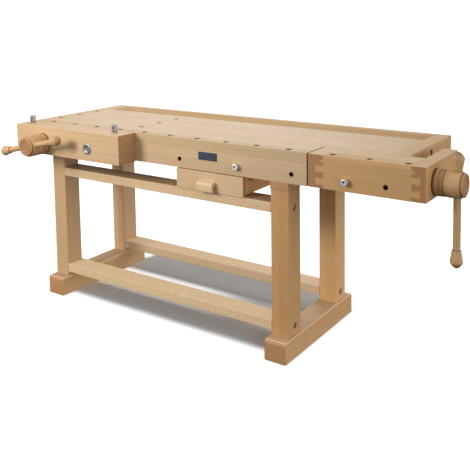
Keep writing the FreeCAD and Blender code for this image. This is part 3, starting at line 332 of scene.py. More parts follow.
# ------------------------------------------------------------------ metals
def zinc(name, turned="Z", tone=1.0, rough=0.0):
    """Zinc plated steel, turned: fine rings round the axis, faint bloom and small scuffs."""
    m, t, bsdf = material(name)
    tc = t.n.new("ShaderNodeTexCoord")
    x, y, z = t.sep(tc.outputs["Object"])
    nx, ny, nz = t.face_normal()
    a, b, c, n = {"X": (y, z, x, nx), "Y": (x, z, y, ny), "Z": (x, y, z, nz)}[turned]
    r = t.math("SQRT", t.math("ADD", t.math("MULTIPLY", a, a), t.math("MULTIPLY", b, b)))
    lines_end = t.noise(t.vec(t.math("MULTIPLY", r, 5200.0), 0.0, 0.0), 1.0, 2.0)
    lines_side = t.noise(t.vec(0.0, 0.0, t.math("MULTIPLY", c, 5200.0)), 1.0, 2.0)
    mask = t.smooth(t.math("ABSOLUTE", n), 0.5, 0.8)
    lines = t.math("ADD", t.math("MULTIPLY", lines_end, mask), t.math("MULTIPLY", lines_side, t.math("SUBTRACT", 1.0, mask)))
    bloom = t.noise(t.vec(t.math("MULTIPLY", x, 90.0), t.math("MULTIPLY", y, 90.0), t.math("MULTIPLY", z, 90.0)), 1.0, 4.0)
    scuff, _ = t.voronoi(t.vec(t.math("MULTIPLY", x, 380.0), t.math("MULTIPLY", y, 380.0), t.math("MULTIPLY", z, 120.0)))
    col = t.mix(t.smooth(bloom, 0.35, 0.7), tuple(v * tone for v in (0.60, 0.61, 0.62)), tuple(v * tone for v in (0.50, 0.50, 0.47)))
    col = t.mix(t.smooth(scuff, 0.02, 0.10, 0.5, 0.0), col, (0.30, 0.29, 0.27))
    col = t.mix(t.math("MULTIPLY", t.attr("wear"), 0.5), col, tuple(v * tone for v in (0.74, 0.74, 0.74)))
    # painted shade: near black in marked recesses, the dog's groove and drilled centre
    col = t.mix(t.math("MULTIPLY", t.attr("dirt_and_shade"), t.smooth(bloom, 0.2, 0.6, 0.8, 1.0)), col, (0.022, 0.020, 0.016))
    t.l.new(col, bsdf.inputs["Base Color"])
    bsdf.inputs["Metallic"].default_value = 1.0
    rg = t.math("ADD", 0.20 + rough, t.math("MULTIPLY", bloom, 0.20))
    t.l.new(t.math("ADD", rg, t.math("MULTIPLY", lines, 0.08)), bsdf.inputs["Roughness"])
    t.l.new(t.bump(lines, 0.22, 0.00008), bsdf.inputs["Normal"])
    return m


def steel(name, axis):
    """Bright drawn steel bar, lightly oiled, with draw lines along it and a few stains."""
    m, t, bsdf = material(name)
    tc = t.n.new("ShaderNodeTexCoord")
    x, y, z = t.sep(tc.outputs["Object"])
    L, U, V = {"X": (x, y, z), "Y": (y, x, z), "Z": (z, x, y)}[axis]
    draw = t.noise(t.vec(t.math("MULTIPLY", L, 9.0), t.math("MULTIPLY", U, 1800.0), t.math("MULTIPLY", V, 1800.0)), 1.0, 2.0)
    stain = t.noise(t.vec(t.math("MULTIPLY", x, 26.0), t.math("MULTIPLY", y, 26.0), t.math("MULTIPLY", z, 26.0)), 1.0, 6.0, 0.7)
    col = t.mix(t.smooth(stain, 0.50, 0.72), (0.56, 0.56, 0.56), (0.36, 0.30, 0.24))
    col = t.scale_col(col, t.math("ADD", 0.88, t.math("MULTIPLY", draw, 0.22)))
    t.l.new(col, bsdf.inputs["Base Color"])
    bsdf.inputs["Metallic"].default_value = 1.0
    t.l.new(t.math("ADD", 0.22, t.math("MULTIPLY", stain, 0.26)), bsdf.inputs["Roughness"])
    t.l.new(t.bump(draw, 0.15, 0.0001), bsdf.inputs["Normal"])
    return m


def iron(name, skin=(0.030, 0.031, 0.033), rub=(0.060, 0.055, 0.050), metal=0.6, gloss=0.5):
    """Cast iron with a sand cast skin, black unless it is lacquered."""
    m, t, bsdf = material(name)
    tc = t.n.new("ShaderNodeTexCoord")
    x, y, z = t.sep(tc.outputs["Object"])
    v = t.vec(x, y, z)
    grain = t.noise(v, 900.0, 4.0, 0.65)
    soft = t.noise(v, 60.0, 3.0)
    col = t.mix(t.smooth(soft, 0.35, 0.7), skin, rub)
    col = t.mix(t.math("MULTIPLY", t.attr("wear"), 0.6), col, (0.22, 0.21, 0.20))
    t.l.new(col, bsdf.inputs["Base Color"])
    bsdf.inputs["Metallic"].default_value = metal
    bsdf.inputs["Specular IOR Level"].default_value = gloss
    t.l.new(t.math("ADD", 0.42, t.math("MULTIPLY", grain, 0.22)), bsdf.inputs["Roughness"])
    t.l.new(t.bump(grain, 0.35, 0.0003), bsdf.inputs["Normal"])
    return m


def plate_paint(name):
    """Dark blue-grey stove enamel on a thin plate, rubbed to metal along its rim."""
    m, t, bsdf = material(name)
    tc = t.n.new("ShaderNodeTexCoord")
    x, y, z = t.sep(tc.outputs["Object"])
    v = t.vec(x, y, z)
    peel = t.noise(v, 1200.0, 2.0)
    fade = t.noise(v, 45.0, 4.0)
    col = t.mix(t.smooth(fade, 0.35, 0.7), (0.034, 0.045, 0.078), (0.050, 0.062, 0.098))
    rub = t.math("MULTIPLY", t.attr("wear"), t.smooth(t.noise(v, 260.0, 3.0), 0.35, 0.6))
    col = t.mix(rub, col, (0.55, 0.56, 0.58))
    t.l.new(col, bsdf.inputs["Base Color"])
    t.l.new(rub, bsdf.inputs["Metallic"])
    t.l.new(t.math("ADD", 0.30, t.math("MULTIPLY", fade, 0.18)), bsdf.inputs["Roughness"])
    t.l.new(t.bump(peel, 0.12, 0.0001), bsdf.inputs["Normal"])
    return m


# ------------------------------------------------------------------ pieces from boards
_bvh = {}


def solid_tree(node):
    if node not in _bvh:
        me = nodes[node].data
        me.calc_loop_triangles()
        vs = [v.co.copy() for v in me.vertices]
        tr = [tuple(p.vertices) for p in me.loop_triangles]
        _bvh[node] = (BVHTree.FromPolygons(vs, tr), *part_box(node))
    return _bvh[node]


RAY = Vector((0.3141, 0.5926, 0.7411)).normalized()


def inside(node, p):
    tree, a, b = solid_tree(node)
    if not all(a[i] - 1e-5 <= p[i] <= b[i] + 1e-5 for i in range(3)):
        return False
    hits, o = 0, p.copy()
    for _ in range(40):
        loc, nrm, idx, dist = tree.ray_cast(o, RAY)
        if loc is None:
            break
        hits += 1
        o = loc + RAY * 1e-6
    return hits % 2 == 1


def covered(node, p, mates):
    return any(inside(k, p) for k in mates if k != node)


def finish_mesh(obj, angle=38.0, broad=None):
    me = obj.data
    flags = [True] * len(me.polygons)
    if broad:
        for i, p in enumerate(me.polygons):
            round_ = sum((me.vertices[a].co - me.vertices[b].co).length for a, b in p.edge_keys)
            flags[i] = 2 * p.area < broad * round_
    me.set_sharp_from_angle(angle=radians(angle))
    me.polygons.foreach_set("use_smooth", flags)
    if broad:
        return obj
    w = obj.modifiers.new("face_normals", "WEIGHTED_NORMAL")
    w.keep_sharp = True
    w.weight = 60
    return obj


def new_piece(name, bm, mats, body, replaced=()):
    me = bpy.data.meshes.new(name)
    bm.to_mesh(me)
    bm.free()
    obj = bpy.data.objects.new(name, me)
    bpy.context.scene.collection.objects.link(obj)
    for m in mats if isinstance(mats, (list, tuple)) else [mats]:
        me.materials.append(m)
    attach(obj, body)
    if replaced:
        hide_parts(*replaced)
    return obj


def mark(bm, faces, value=1.0):
    lay = bm.faces.layers.float.get("wear") or bm.faces.layers.float.new("wear")
    for f in faces:
        if f.is_valid:
            f[lay] = value


def eased(node, mat, width=1.5, segs=2, angle=25.0, name=None, skip=None, shaded_top=0.0, bore_shade=1.0):
    """The node's own solid with its free arrises rounded; edges that meet another board stay tight."""
    me = nodes[node].data
    bm = bmesh.new()
    bm.from_mesh(me)
    bmesh.ops.remove_doubles(bm, verts=bm.verts, dist=3e-6)
    bmesh.ops.dissolve_limit(bm, angle_limit=radians(0.25), use_dissolve_boundaries=False, verts=bm.verts, edges=bm.edges)
    bm.normal_update()
    bm.faces.layers.float.new("wear")
    mates = bodies[body_of[node]]
    pick = []
    for e in bm.edges:
        if len(e.link_faces) != 2:
            continue
        f1, f2 = e.link_faces
        if f1.normal.angle(f2.normal, 0.0) < radians(angle):
            continue
        a, b = e.verts[0].co, e.verts[1].co
        along = (b - a).normalized()
        d1 = f1.normal.cross(along)
        mid = (a + b) / 2
        # the direction in each face, away from the edge
        l1 = next(l for l in f1.loops if l.edge == e)
        l2 = next(l for l in f2.loops if l.edge == e)
        t1 = (l1.link_loop_next.vert.co - l1.vert.co).normalized()
        t2 = (l2.link_loop_next.vert.co - l2.vert.co).normalized()
        in1 = f1.normal.cross(t1)
        in2 = f2.normal.cross(t2)
        if in1.dot(f2.normal) > 0.02:
            continue            # a hollow corner stays sharp
        if skip is not None and skip(mid, f1.normal, f2.normal):
            continue
        free = 0
        for s in (0.15, 0.5, 0.85):
            q = a.lerp(b, s)
            c1 = covered(node, q + f1.normal * 5e-4 + in1 * 1e-3, mates)
            c2 = covered(node, q + f2.normal * 5e-4 + in2 * 1e-3, mates)
            free += not (c1 or c2)
        if free >= 2:
            pick.append(e)
    if pick:
        res = bmesh.ops.bevel(
            bm, geom=pick, offset=width / 1000, offset_type="OFFSET", segments=segs, profile=0.5,
            affect="EDGES", clamp_overlap=True,
        )
        mark(bm, res["faces"])
        bmesh.ops.dissolve_degenerate(bm, dist=2e-6, edges=bm.edges)
    # painted shade on the walls of bored holes: narrow facets well inside the board
    lay = bm.faces.layers.float.new("dirt_and_shade")
    lo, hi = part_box(node)
    for f in bm.faces:
        c = f.calc_center_median()
        if 2 * f.calc_area() < 0.004 * f.calc_perimeter() and all(lo[i] + 0.003 < c[i] < hi[i] - 0.003 for i in range(3)):
            f[lay] = bore_shade
        # painted shade on upward faces that lie in shade
        if shaded_top and f.normal.z > 0.9:
            f[lay] = shaded_top
    obj = new_piece(name or node + "_board", bm, mat, body_of[node], (node,))
    return finish_mesh(obj, broad=0.0075)


# ------------------------------------------------------------------ turned pieces
def curve(points, n=6):
    """A smooth line through (radius, height) points; a point given three values is a corner."""
    out = []
    runs, run = [], []
    for p in points:
        run.append((p[0], p[1]))
        if len(p) == 3:
            runs.append(run)
            run = [(p[0], p[1])]
    runs.append(run)
    for run in runs:
        if len(run) < 3:
            out += run[:-1] if run is not runs[-1] else run
            continue
        for i in range(len(run) - 1):
            p0, p1 = run[max(i - 1, 0)], run[i]
            p2, p3 = run[i + 1], run[min(i + 2, len(run) - 1)]
            for k in range(n):
                s = k / n
                out.append(tuple(
                    0.5 * (2 * p1[j] + (p2[j] - p0[j]) * s + (2 * p0[j] - 5 * p1[j] + 4 * p2[j] - p3[j]) * s * s
                           + (3 * p1[j] - p0[j] - 3 * p2[j] + p3[j]) * s ** 3) for j in (0, 1)))
        if run is runs[-1]:
            out.append(run[-1])
    clean = []
    for p in out:
        if not clean or abs(p[0] - clean[-1][0]) + abs(p[1] - clean[-1][1]) > 1e-4:
            clean.append(p)
    return clean


def lathe(profile, segs=96):
    """A closed solid of revolution about Z from (radius, height) in millimetres."""
    bm = bmesh.new()
    rings = []
    for r, h in profile:
        r, h = r / 1000, h / 1000
        if r < 1e-7:
            rings.append([bm.verts.new((0, 0, h))])
        else:
            rings.append([bm.verts.new((r * cos(2 * pi * i / segs), r * sin(2 * pi * i / segs), h)) for i in range(segs)])
    closed = len(rings[0]) > 1 and len(rings[-1]) > 1
    pairs = list(zip(rings, rings[1:])) + ([(rings[-1], rings[0])] if closed else [])
    for a, b in pairs:
        for i in range(segs):
            j = (i + 1) % segs
            if len(a) == 1 and len(b) == 1:
                continue
            if len(a) == 1:
                bm.faces.new((a[0], b[j], b[i]))
            elif len(b) == 1:
                bm.faces.new((a[i], a[j], b[0]))
            else:
                bm.faces.new((a[i], a[j], b[j], b[i]))
    bmesh.ops.recalc_face_normals(bm, faces=bm.faces)
    return bm


def place(at, direction, spin=0.0):
    d = Vector(direction).normalized()
    rot = Vector((0, 0, 1)).rotation_difference(d).to_matrix().to_4x4()
    return Matrix.Translation(at) @ rot @ Matrix.Rotation(spin, 4, "Z")


def turned(name, profile, at, direction, mat, body, slot, replaced=(), segs=96, angle=32.0, cutter=None, wear=None, dirt_and_shade=None):
    bm = lathe(profile, segs)
    bm.faces.layers.float.new("wear")
    if wear:
        lay = bm.faces.layers.float.get("wear")
        for f in bm.faces:
            c = f.calc_center_median()
            f[lay] = wear(math.hypot(c.x, c.y) * 1000, c.z * 1000)
    if dirt_and_shade:
        lay = bm.faces.layers.float.new("dirt_and_shade")
        for f in bm.faces:
            c = f.calc_center_median()
            f[lay] = dirt_and_shade(math.hypot(c.x, c.y) * 1000, c.z * 1000)
    me = bpy.data.meshes.new(name)
    bm.to_mesh(me)
    bm.free()
    obj = bpy.data.objects.new(name, me)
    bpy.context.scene.collection.objects.link(obj)
    me.materials.append(mat)
    if cutter is not None:
        b = obj.modifiers.new("hole", "BOOLEAN")
        b.operation = "DIFFERENCE"
        b.solver = "EXACT"
        b.object = cutter
        bpy.context.view_layer.update()
        dg = bpy.context.evaluated_depsgraph_get()
        cut = bpy.data.meshes.new_from_object(obj.evaluated_get(dg))
        obj.modifiers.clear()
        obj.data = cut
        if not cut.materials:
            cut.materials.append(mat)
    obj.matrix_world = place(at, direction)
    finish_mesh(obj, angle)
    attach(obj, body)
    if replaced:
        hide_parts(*replaced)
    return obj


def temp_solid(bm, name="cutter"):
    me = bpy.data.meshes.new(name)
    bm.to_mesh(me)
    bm.free()
    o = bpy.data.objects.new(name, me)
    bpy.context.scene.collection.objects.link(o)
    return o


def drop(o):
    me = o.data
    bpy.data.objects.remove(o)
    bpy.data.meshes.remove(me)


def threaded(name, length, plain, pitch, rmaj, rmin, at, direction, mat, body, replaced, segs=40):
    """A screw: a trapezoid thread as one closed helical skin, with a plain shank at its foot."""
    bm = bmesh.new()
    prof = [(rmin, 0.00), (rmin, 0.34), (rmaj, 0.46), (rmaj, 0.88)]
    turns = int((length - plain) / pitch) - 1
    N = turns * segs
    grid = []
    for i in range(N + 1):
        a = 2 * pi * i / segs
        row = []
        for r, f in prof:
            zz = plain + pitch * i / segs + pitch * f
            # the thread runs out at both ends
            k = min(1.0, i / segs, (N - i) / segs)
            rr = (rmin + (r - rmin) * k) / 1000
            row.append(bm.verts.new((rr * cos(a), rr * sin(a), zz / 1000)))
        grid.append(row)
    for i in range(N):
        for k in range(3):
            bm.faces.new((grid[i][k], grid[i + 1][k], grid[i + 1][k + 1], grid[i][k + 1]))
        if i + segs + 1 <= N:
            bm.faces.new((grid[i][3], grid[i + 1][3], grid[i + 1 + segs][0], grid[i + segs][0]))
    # foot: down to the plain shank and its end
    first = [grid[i][0] for i in range(segs + 1)] + [grid[0][3], grid[0][2], grid[0][1]]
    c0 = bm.verts.new((0, 0, (plain - 1) / 1000))
    for a, b in zip(first, first[1:] + first[:1]):
        bm.faces.new((a, c0, b))
    last = [grid[N - segs + i][3] for i in range(segs + 1)] + [grid[N][2], grid[N][1], grid[N][0]]
    c1 = bm.verts.new((0, 0, (plain + pitch * (turns + 1.0)) / 1000))
    for a, b in zip(last, last[1:] + last[:1]):
        bm.faces.new((a, b, c1))
    # plain shank, a separate closed skin that laps the thread's foot
    sh = lathe([(0, 0), (rmaj, 0), (rmaj, plain - 2), (rmaj - 1.5, plain + 0.5), (rmin - 1, plain + 3), (0, plain + 3)], 64)
    tmp = bpy.data.meshes.new("tmp")
    sh.to_mesh(tmp)
    sh.free()
    bm.from_mesh(tmp)
    bpy.data.meshes.remove(tmp)
    end = lathe([(0, length - pitch * 2), (rmin - 0.4, length - pitch * 2), (rmin - 0.4, length - 2), (rmin - 2.4, length), (0, length)], 64)
    tmp = bpy.data.meshes.new("tmp")
    end.to_mesh(tmp)
    end.free()
    bm.from_mesh(tmp)
    bpy.data.meshes.remove(tmp)
    bmesh.ops.recalc_face_normals(bm, faces=bm.faces)
    me = bpy.data.meshes.new(name)
    bm.to_mesh(me)
    bm.free()
    obj = bpy.data.objects.new(name, me)
    bpy.context.scene.collection.objects.link(obj)
    me.materials.append(mat)
    obj.matrix_world = place(at, direction)
    finish_mesh(obj, 30)
    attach(obj, body)
    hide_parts(*replaced)
    return obj


# ------------------------------------------------------------------ materials
m_slab = beech("beech_slab", "X", "U", 0.0505, 0.013, seed=3.0, fleck=0.7, quarter=0.15, warm=-0.25, vary=0.45, rough=-0.04)
m_apron = beech("beech_apron", "X", "V", 0.0433, 0.0037, seed=11.0, quarter=0.22, vary=0.8)
m_jaw = beech("beech_jaw", "X", "V", 0.0433, 0.0037, seed=23.0, quarter=0.22, warm=0.2, tone=0.97)
m_cap_l = beech("beech_cap_left", "Y", "V", 0.0650, 0.0, seed=31.0, quarter=0.25)
m_cap = beech("beech_cap", "Y", "V", 0.0650, 0.0, seed=33.0, quarter=0.25, warm=1.1, tone=0.93)
m_rail = beech("beech_rail", "X", None, seed=5.0, quarter=0.2, warm=0.1, tone=0.88)
m_tailboard = beech("beech_tail_board", "X", "V", 0.0650, 0.0, seed=41.0, quarter=0.22, warm=1.0, tone=1.0, vary=1.3)
m_block = beech("beech_block", "Y", None, seed=8.0, end=1.0, warm=1.2, tone=0.98)
m_strip = beech("beech_strip", "X", None, seed=13.0, warm=0.2)
m_leg = beech("beech_leg", "Z", "U", 0.0410, 0.0, seed=17.0, quarter=0.35, warm=0.5)
# copies of the leg beech: the right one darker and more orange, the rear ones brighter, as painted shade and painted
# light for how the light falls on each leg
m_leg_r = beech("beech_leg_right", "Z", "U", 0.0410, 0.0, seed=18.0, quarter=0.35, warm=1.25, tone=0.92)
m_leg_rl = beech("beech_leg_rear_left", "Z", "U", 0.0410, 0.0, seed=21.0, quarter=0.35, warm=0.4, tone=1.15)
m_leg_rr = beech("beech_leg_rear_right", "Z", "U", 0.0410, 0.0, seed=25.0, quarter=0.35, warm=1.0, tone=1.14)
m_foot = beech("beech_foot", "Y", "V", 0.0440, 0.0, seed=19.0, quarter=0.3, warm=0.95, tone=0.96, end=1.3)
m_rung = beech("beech_rung", "X", None, seed=29.0, quarter=1.0, warm=-0.2, fleck=2.0, tone=1.27, ray=1.1)
m_rail_u = beech("beech_upper_rail", "X", None, seed=61.0, quarter=0.6, tone=1.16, ray=0.85)
m_drawer = beech("beech_drawer", "X", None, seed=37.0, quarter=0.5, warm=0.05, ray=0.4, tone=1.06)
# brighter and warmer than the other beech: painted light for the light thrown onto the drawer sides
m_side = beech("beech_drawer_side", "Y", None, seed=43.0, quarter=0.3, warm=1.2, tone=1.5)
m_turn = beech("beech_turned", "Z", None, seed=47.0, quarter=0.2, warm=0.9, tone=0.9, cut=0.34)
m_hub = beech("beech_hub", "Z", None, seed=53.0, quarter=0.2, end=1.15, warm=1.0, tone=0.87, cut=0.45)
m_ply = plywood("plywood")
m_zinc = zinc("zinc", "Z", 0.82)
m_zinc_y = zinc("zinc_bolt", "X", 1.1)
m_zinc_cap = zinc("zinc_cap", "Z", 0.62, 0.14)
m_zinc_dog = zinc("zinc_dog", "Z", 0.90, -0.06)
m_zinc_peg = zinc("zinc_peg", "Z", 1.25, 0.05)
m_steel_x = steel("steel_x", "X")
m_steel_y = steel("steel_y", "Y")
m_steel_z = steel("steel_z", "Z")
m_iron = iron("iron")
m_flange = iron("iron_lacquered", (0.075, 0.034, 0.015), (0.100, 0.048, 0.022), 0.0, 0.10)
m_washer = iron("fibre_washer", (0.330, 0.185, 0.090), (0.380, 0.220, 0.115), 0.0, 0.2)
m_pull = beech("beech_pull", "X", None, seed=67.0, quarter=0.15, tone=1.12, end=1.0, fleck=0.6, cut=0.9)
m_plate = plate_paint("plate_enamel")

# ------------------------------------------------------------------ boards
eased("top_slab", m_slab, 1.2)
apron = eased("front_apron", m_apron, 1.3)
far = max(v.co.x for v in apron.data.vertices)
for i, p in enumerate(apron.data.polygons):  # the end that the tail vise grips against: painted shade in the gap there
    if p.normal.x > 0.9 and p.center.x > far - 0.0005:
        apron.data.attributes["dirt_and_shade"].data[i].value = 0.5
eased("end_cap_left", m_cap_l, 1.6)
eased("end_cap_right", m_cap, 1.6)
eased("rear_rail", m_rail, 1.6)
eased("tray_ramp", m_strip, 1.0, angle=20)
eased("front_jaw_block", m_jaw, 1.8, 3)
eased("tail_front_board", m_tailboard, 1.3)
eased("tail_jaw_block", m_block, 1.3)
eased("tail_end_block", m_block, 1.8, 3)
eased("tail_top_strip", m_strip, 1.2)
eased("leg_front_left", m_leg, 1.0, 2, bore_shade=0.45)
eased("leg_rear_left", m_leg_rl, 1.0, 2, bore_shade=0.45)
eased("leg_front_right", m_leg_r, 1.0, 2, bore_shade=0.45)
eased("leg_rear_right", m_leg_rr, 1.0, 2, bore_shade=0.45)
for n in ("foot_left", "foot_right"):
    eased(n, m_foot, 3.2, 3, angle=50)
for n in ("bearer_left", "bearer_right"):
    eased(n, m_foot, 1.8, 3)
for n in ("stretcher_front", "stretcher_rear"):
    eased(n, m_rung, 1.0, 2)
# the upper rail's top lies in shade under the bench top: painted shade on it
eased("rail_upper", m_rail_u, 1.0, 2, shaded_top=0.80)
eased("drawer_front", m_drawer, 1.2)
eased("drawer_side_left", m_side, 0.8)
eased("drawer_side_right", m_side, 0.8)
eased("drawer_back", m_drawer, 0.8)
eased("drawer_runners", m_side, 0.8)
eased("front_guide_block", m_side, 1.5)
eased("tail_guide_block", m_side, 1.5)
eased("tray_floor", m_ply, 0.3, 1)
eased("drawer_bottom", m_ply, 0.3, 1)
eased("name_plate_blank", m_plate, 0.4, 2, angle=20)
eased("front_nut", m_iron, 1.5, 3)
eased("front_guide_socket", m_iron, 1.5, 3)
eased("tail_nut", m_iron, 0.8, 2)
eased("frame_bolts", m_zinc_y, 0.5, 2)
eased("cap_bolts", m_zinc_y, 0.5, 2)
eased("barrel_nuts", m_zinc, 0.5, 2)
eased("locating_pegs", m_turn, 1.0, 2)

# ------------------------------------------------------------------ turned work
HUB_L, HUB_R, BAR_AT, BAR_R = 100.0, 50.0, 70.0, 13.5
flo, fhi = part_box("front_hub")
tlo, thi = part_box("tail_hub")
front_c = Vector(((flo.x + fhi.x) / 2, fhi.y, (flo.z + fhi.z) / 2))
tail_c = Vector((tlo.x, (tlo.y + thi.y) / 2, (tlo.z + thi.z) / 2))


def bead(h, r, w=6.5, dip=2.6):
    """One rounded bead of the flange, from a groove up over the crest."""
    return [(r - dip, h), (r - 0.9, h + w * 0.16), (r, h + w * 0.5), (r - 0.9, h + w * 0.84), (r - dip, h + w, 1)]


hub_prof = curve(
    [(14, 0), (HUB_R - 3.2, 0, 1), (HUB_R - 0.9, 1.0), (HUB_R - 0.1, 3.6), (HUB_R - 0.1, 9.4), (HUB_R - 1.2, 11.4), (HUB_R - 3.8, 12.9, 1),
     (HUB_R - 3.8, 14.1, 1)]
    + bead(14.1, HUB_R - 0.4, 7.0)[1:] + bead(21.1, HUB_R - 0.5, 7.4)[1:]
    + [(HUB_R - 4.6, 29.0, 1), (HUB_R - 4.6, 30.6, 1), (HUB_R - 2.2, 31.9), (HUB_R - 1.5, 34), (HUB_R - 0.8, 45), (HUB_R - 0.4, 60),
       (HUB_R - 0.7, 78), (HUB_R - 1.3, 83.6), (HUB_R - 2.6, 87.2), (HUB_R - 4.6, 89.4), (HUB_R - 6.6, 90.4, 1),
       (HUB_R - 8.4, 91.6), (HUB_R - 8.7, 92.8), (HUB_R - 8.0, 93.8, 1), (HUB_R - 6.7, 95.0), (HUB_R - 6.6, 96.8), (HUB_R - 7.6, 98.6),
       (HUB_R - 10.0, 99.9), (HUB_R - 14.0, 100.7), (HUB_R - 16.6, 100.2), (HUB_R - 18.0, 98.9, 1), (30.9, 97.4), (29.8, 97.5, 1), (28.6, 99.0), (26.2, 99.8), (23.6, 99.3),
       (21.8, 97.9, 1), (20.9, 97.3), (18, 97.5), (8, 98.0), (0, 98.1)], 5)
hub_prof = [(0, 52)] + [(14, 52)] + hub_prof
BORE = BAR_R + 0.12


def hub_grime_and_shade(r, h):
    """Where the hub is darker: in the grooves between the beads and round the nose, and painted shade in the cross
    hole.
    """
    if r < 14.5 and h < 53:
        return 0.6
    if 12.4 < h < 14.8 or 28.4 < h < 31.2:
        return 0.40
    if 20.3 < h < 21.9:
        return 0.22
    if 89.8 < h < 94.3 and r > 40:
        return 0.5
    if h > 96 and r < 32.4:
        return 0.8 if r > 29.5 else (0.0 if r > 22 else (0.6 if r > 20 else 0.2))
    return 0.0


def hub(name, at, direction, cross, body, node):
    """Turned hub with its cross hole, the hole's two mouths eased."""
    c = lathe([(0, -70), (BORE + 9, -70), (BORE + 0.9, -HUB_R + 0.9), (BORE, -HUB_R + 2.6), (BORE, HUB_R - 2.6), (BORE + 0.9, HUB_R - 0.9), (BORE + 9, 70), (0, 70)], 64)
    cutter = temp_solid(c)
    base = place(Vector((0, 0, 0)), direction)
    local = base.to_3x3().inverted() @ Vector(cross)
    cutter.matrix_world = place(Vector((0, 0, BAR_AT / 1000)), local)
    obj = turned(name, hub_prof, at, direction, m_hub, body, "beech", (node,), 128, 30, cutter, dirt_and_shade=hub_grime_and_shade)
    drop(cutter)
    return obj


TILT = radians(12.7)
front_dir = Vector((cos(TILT), 0, sin(TILT)))
hub("front_hub_turned", front_c, (0, -1, 0), front_dir, "front_screw", "front_hub")
hub("tail_hub_turned", tail_c, (1, 0, 0), (0, 0, 1), "tail_screw", "tail_hub")

knob_prof = curve(
    [(0, 0), (15.2, 0, 1), (16.2, 0.5), (16.6, 1.8), (17.4, 7), (19.0, 17), (20.8, 28), (22.3, 37), (23.1, 42.2), (23.2, 43.8),
     (22.8, 45.6), (20.5, 50.2), (17.1, 55.2), (12.7, 60.2), (8.1, 64.1), (4.0, 66.3), (0, 66.95)], 6)


# painted shade on the knob's shoulder against the bar, and a darker end
def knob_shade_and_grime(r, h):
    return 1.0 if h < 0.3 else (0.30 if h > 44.5 else 0.0)


def bar(name_bar, name_a, name_b, mid, direction, body, nodes3):
    d = Vector(direction).normalized()
    a = mid - d * HALF
    e = HALF * 2000
    turned(name_bar, curve([(0, 0.2), (BAR_R - 1, 0.2, 1), (BAR_R, 1.2, 1), (BAR_R, e - 1.2, 1), (BAR_R - 1, e - 0.2, 1), (0, e - 0.2)]),
           a, d, m_turn, body, "beech", (nodes3[0],), 64)
    turned(name_a, knob_prof, a, -d, m_turn, body, "beech", (nodes3[1],), 96, dirt_and_shade=knob_shade_and_grime)
    turned(name_b, knob_prof, mid + d * HALF, d, m_turn, body, "beech", (nodes3[2],), 96, dirt_and_shade=knob_shade_and_grime)


blo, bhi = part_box("tail_handle_bar")
HALF = (bhi.z - blo.z) / 2
bar("front_bar_turned", "front_knob_a", "front_knob_b", front_c + Vector((0, -BAR_AT / 1000, 0)), front_dir, "front_handle",
    ("front_handle_bar", "front_knob_left", "front_knob_right"))
bar("tail_bar_turned", "tail_knob_a", "tail_knob_b", (blo + bhi) / 2, (0, 0, 1), "tail_handle",
    ("tail_handle_bar", "tail_knob_bottom", "tail_knob_top"))

# Screws and guide bars.
slo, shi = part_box("front_screw_rod")
threaded("front_screw_thread", (shi.y - slo.y) * 1000, 122, 6.0, 14.0, 11.4, Vector(((slo.x + shi.x) / 2, slo.y, (slo.z + shi.z) / 2)), (0, 1, 0),
         m_steel_z, "front_screw", ("front_screw_rod",))
slo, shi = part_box("tail_screw_rod")
threaded("tail_screw_thread", (shi.x - slo.x) * 1000, 116, 6.0, 14.0, 11.4, Vector((shi.x, (slo.y + shi.y) / 2, (slo.z + shi.z) / 2)), (-1, 0, 0),
         m_steel_z, "tail_screw", ("tail_screw_rod",))
glo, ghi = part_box("front_guide_bar")
GL = (ghi.y - glo.y) * 1000
turned("front_guide_turned", [(0, 0), (15, 0), (15, GL - 2), (13, GL), (0, GL)], Vector(((glo.x + ghi.x) / 2, glo.y, (glo.z + ghi.z) / 2)), (0, 1, 0),
       m_steel_z, "front_jaw", "steel", ("front_guide_bar",), 72)
clo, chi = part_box("front_guide_cap")
turned("front_guide_cap_turned",
       curve([(0, 0), (25, 0, 1), (25, 1.6), (24.2, 3.4), (22.4, 4.5), (20.0, 5.0), (17.4, 4.9), (16.2, 4.4, 1), (15.0, 2.6), (11.0, 1.6), (5, 1.2), (0, 1.1)]),
       Vector(((clo.x + chi.x) / 2, chi.y, (clo.z + chi.z) / 2)), (0, -1, 0), m_zinc_cap, "front_jaw", "zinc_steel", ("front_guide_cap",), 96)
glo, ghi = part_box("tail_guide_bar")
GL = (ghi.x - glo.x) * 1000
turned("tail_guide_turned", [(0, 0), (10.5, 0), (12, 1.5), (12, GL), (0, GL)], Vector((glo.x, (glo.y + ghi.y) / 2, (glo.z + ghi.z) / 2)), (1, 0, 0),
       m_steel_z, "tail_vise", "steel", ("tail_guide_bar",), 72)


# Iron rings between each hub and its jaw.
for node, body, way_out in (("front_flange", "front_jaw", Vector((0, -1, 0))), ("tail_flange", "tail_vise", Vector((1, 0, 0)))):
    a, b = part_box(node)
    mid, half = (a + b) / 2, (b - a) / 2
    thick = 2 * abs(half.dot(way_out)) * 1000
    turned(node + "_turned",
           curve([(14.3, 0, 1), (49.6, 0, 1), (49.9, 0.5), (49.9, 4.4, 1), (49.4, 4.8, 1), (49.4, 5.0, 1), (49.8, 5.4, 1), (49.8, thick - 1.2, 1),
                  (49.3, thick - 0.4), (48.4, thick, 1), (14.3, thick)]),
           mid - way_out * abs(half.dot(way_out)), way_out, m_flange, body, "iron", (node,), 128)
    ring = bpy.data.objects[node + "_turned"].data
    ring.materials.append(m_washer)
    for p in ring.polygons:
        if p.center.z * 1000 > 4.9:
            p.material_index = 1


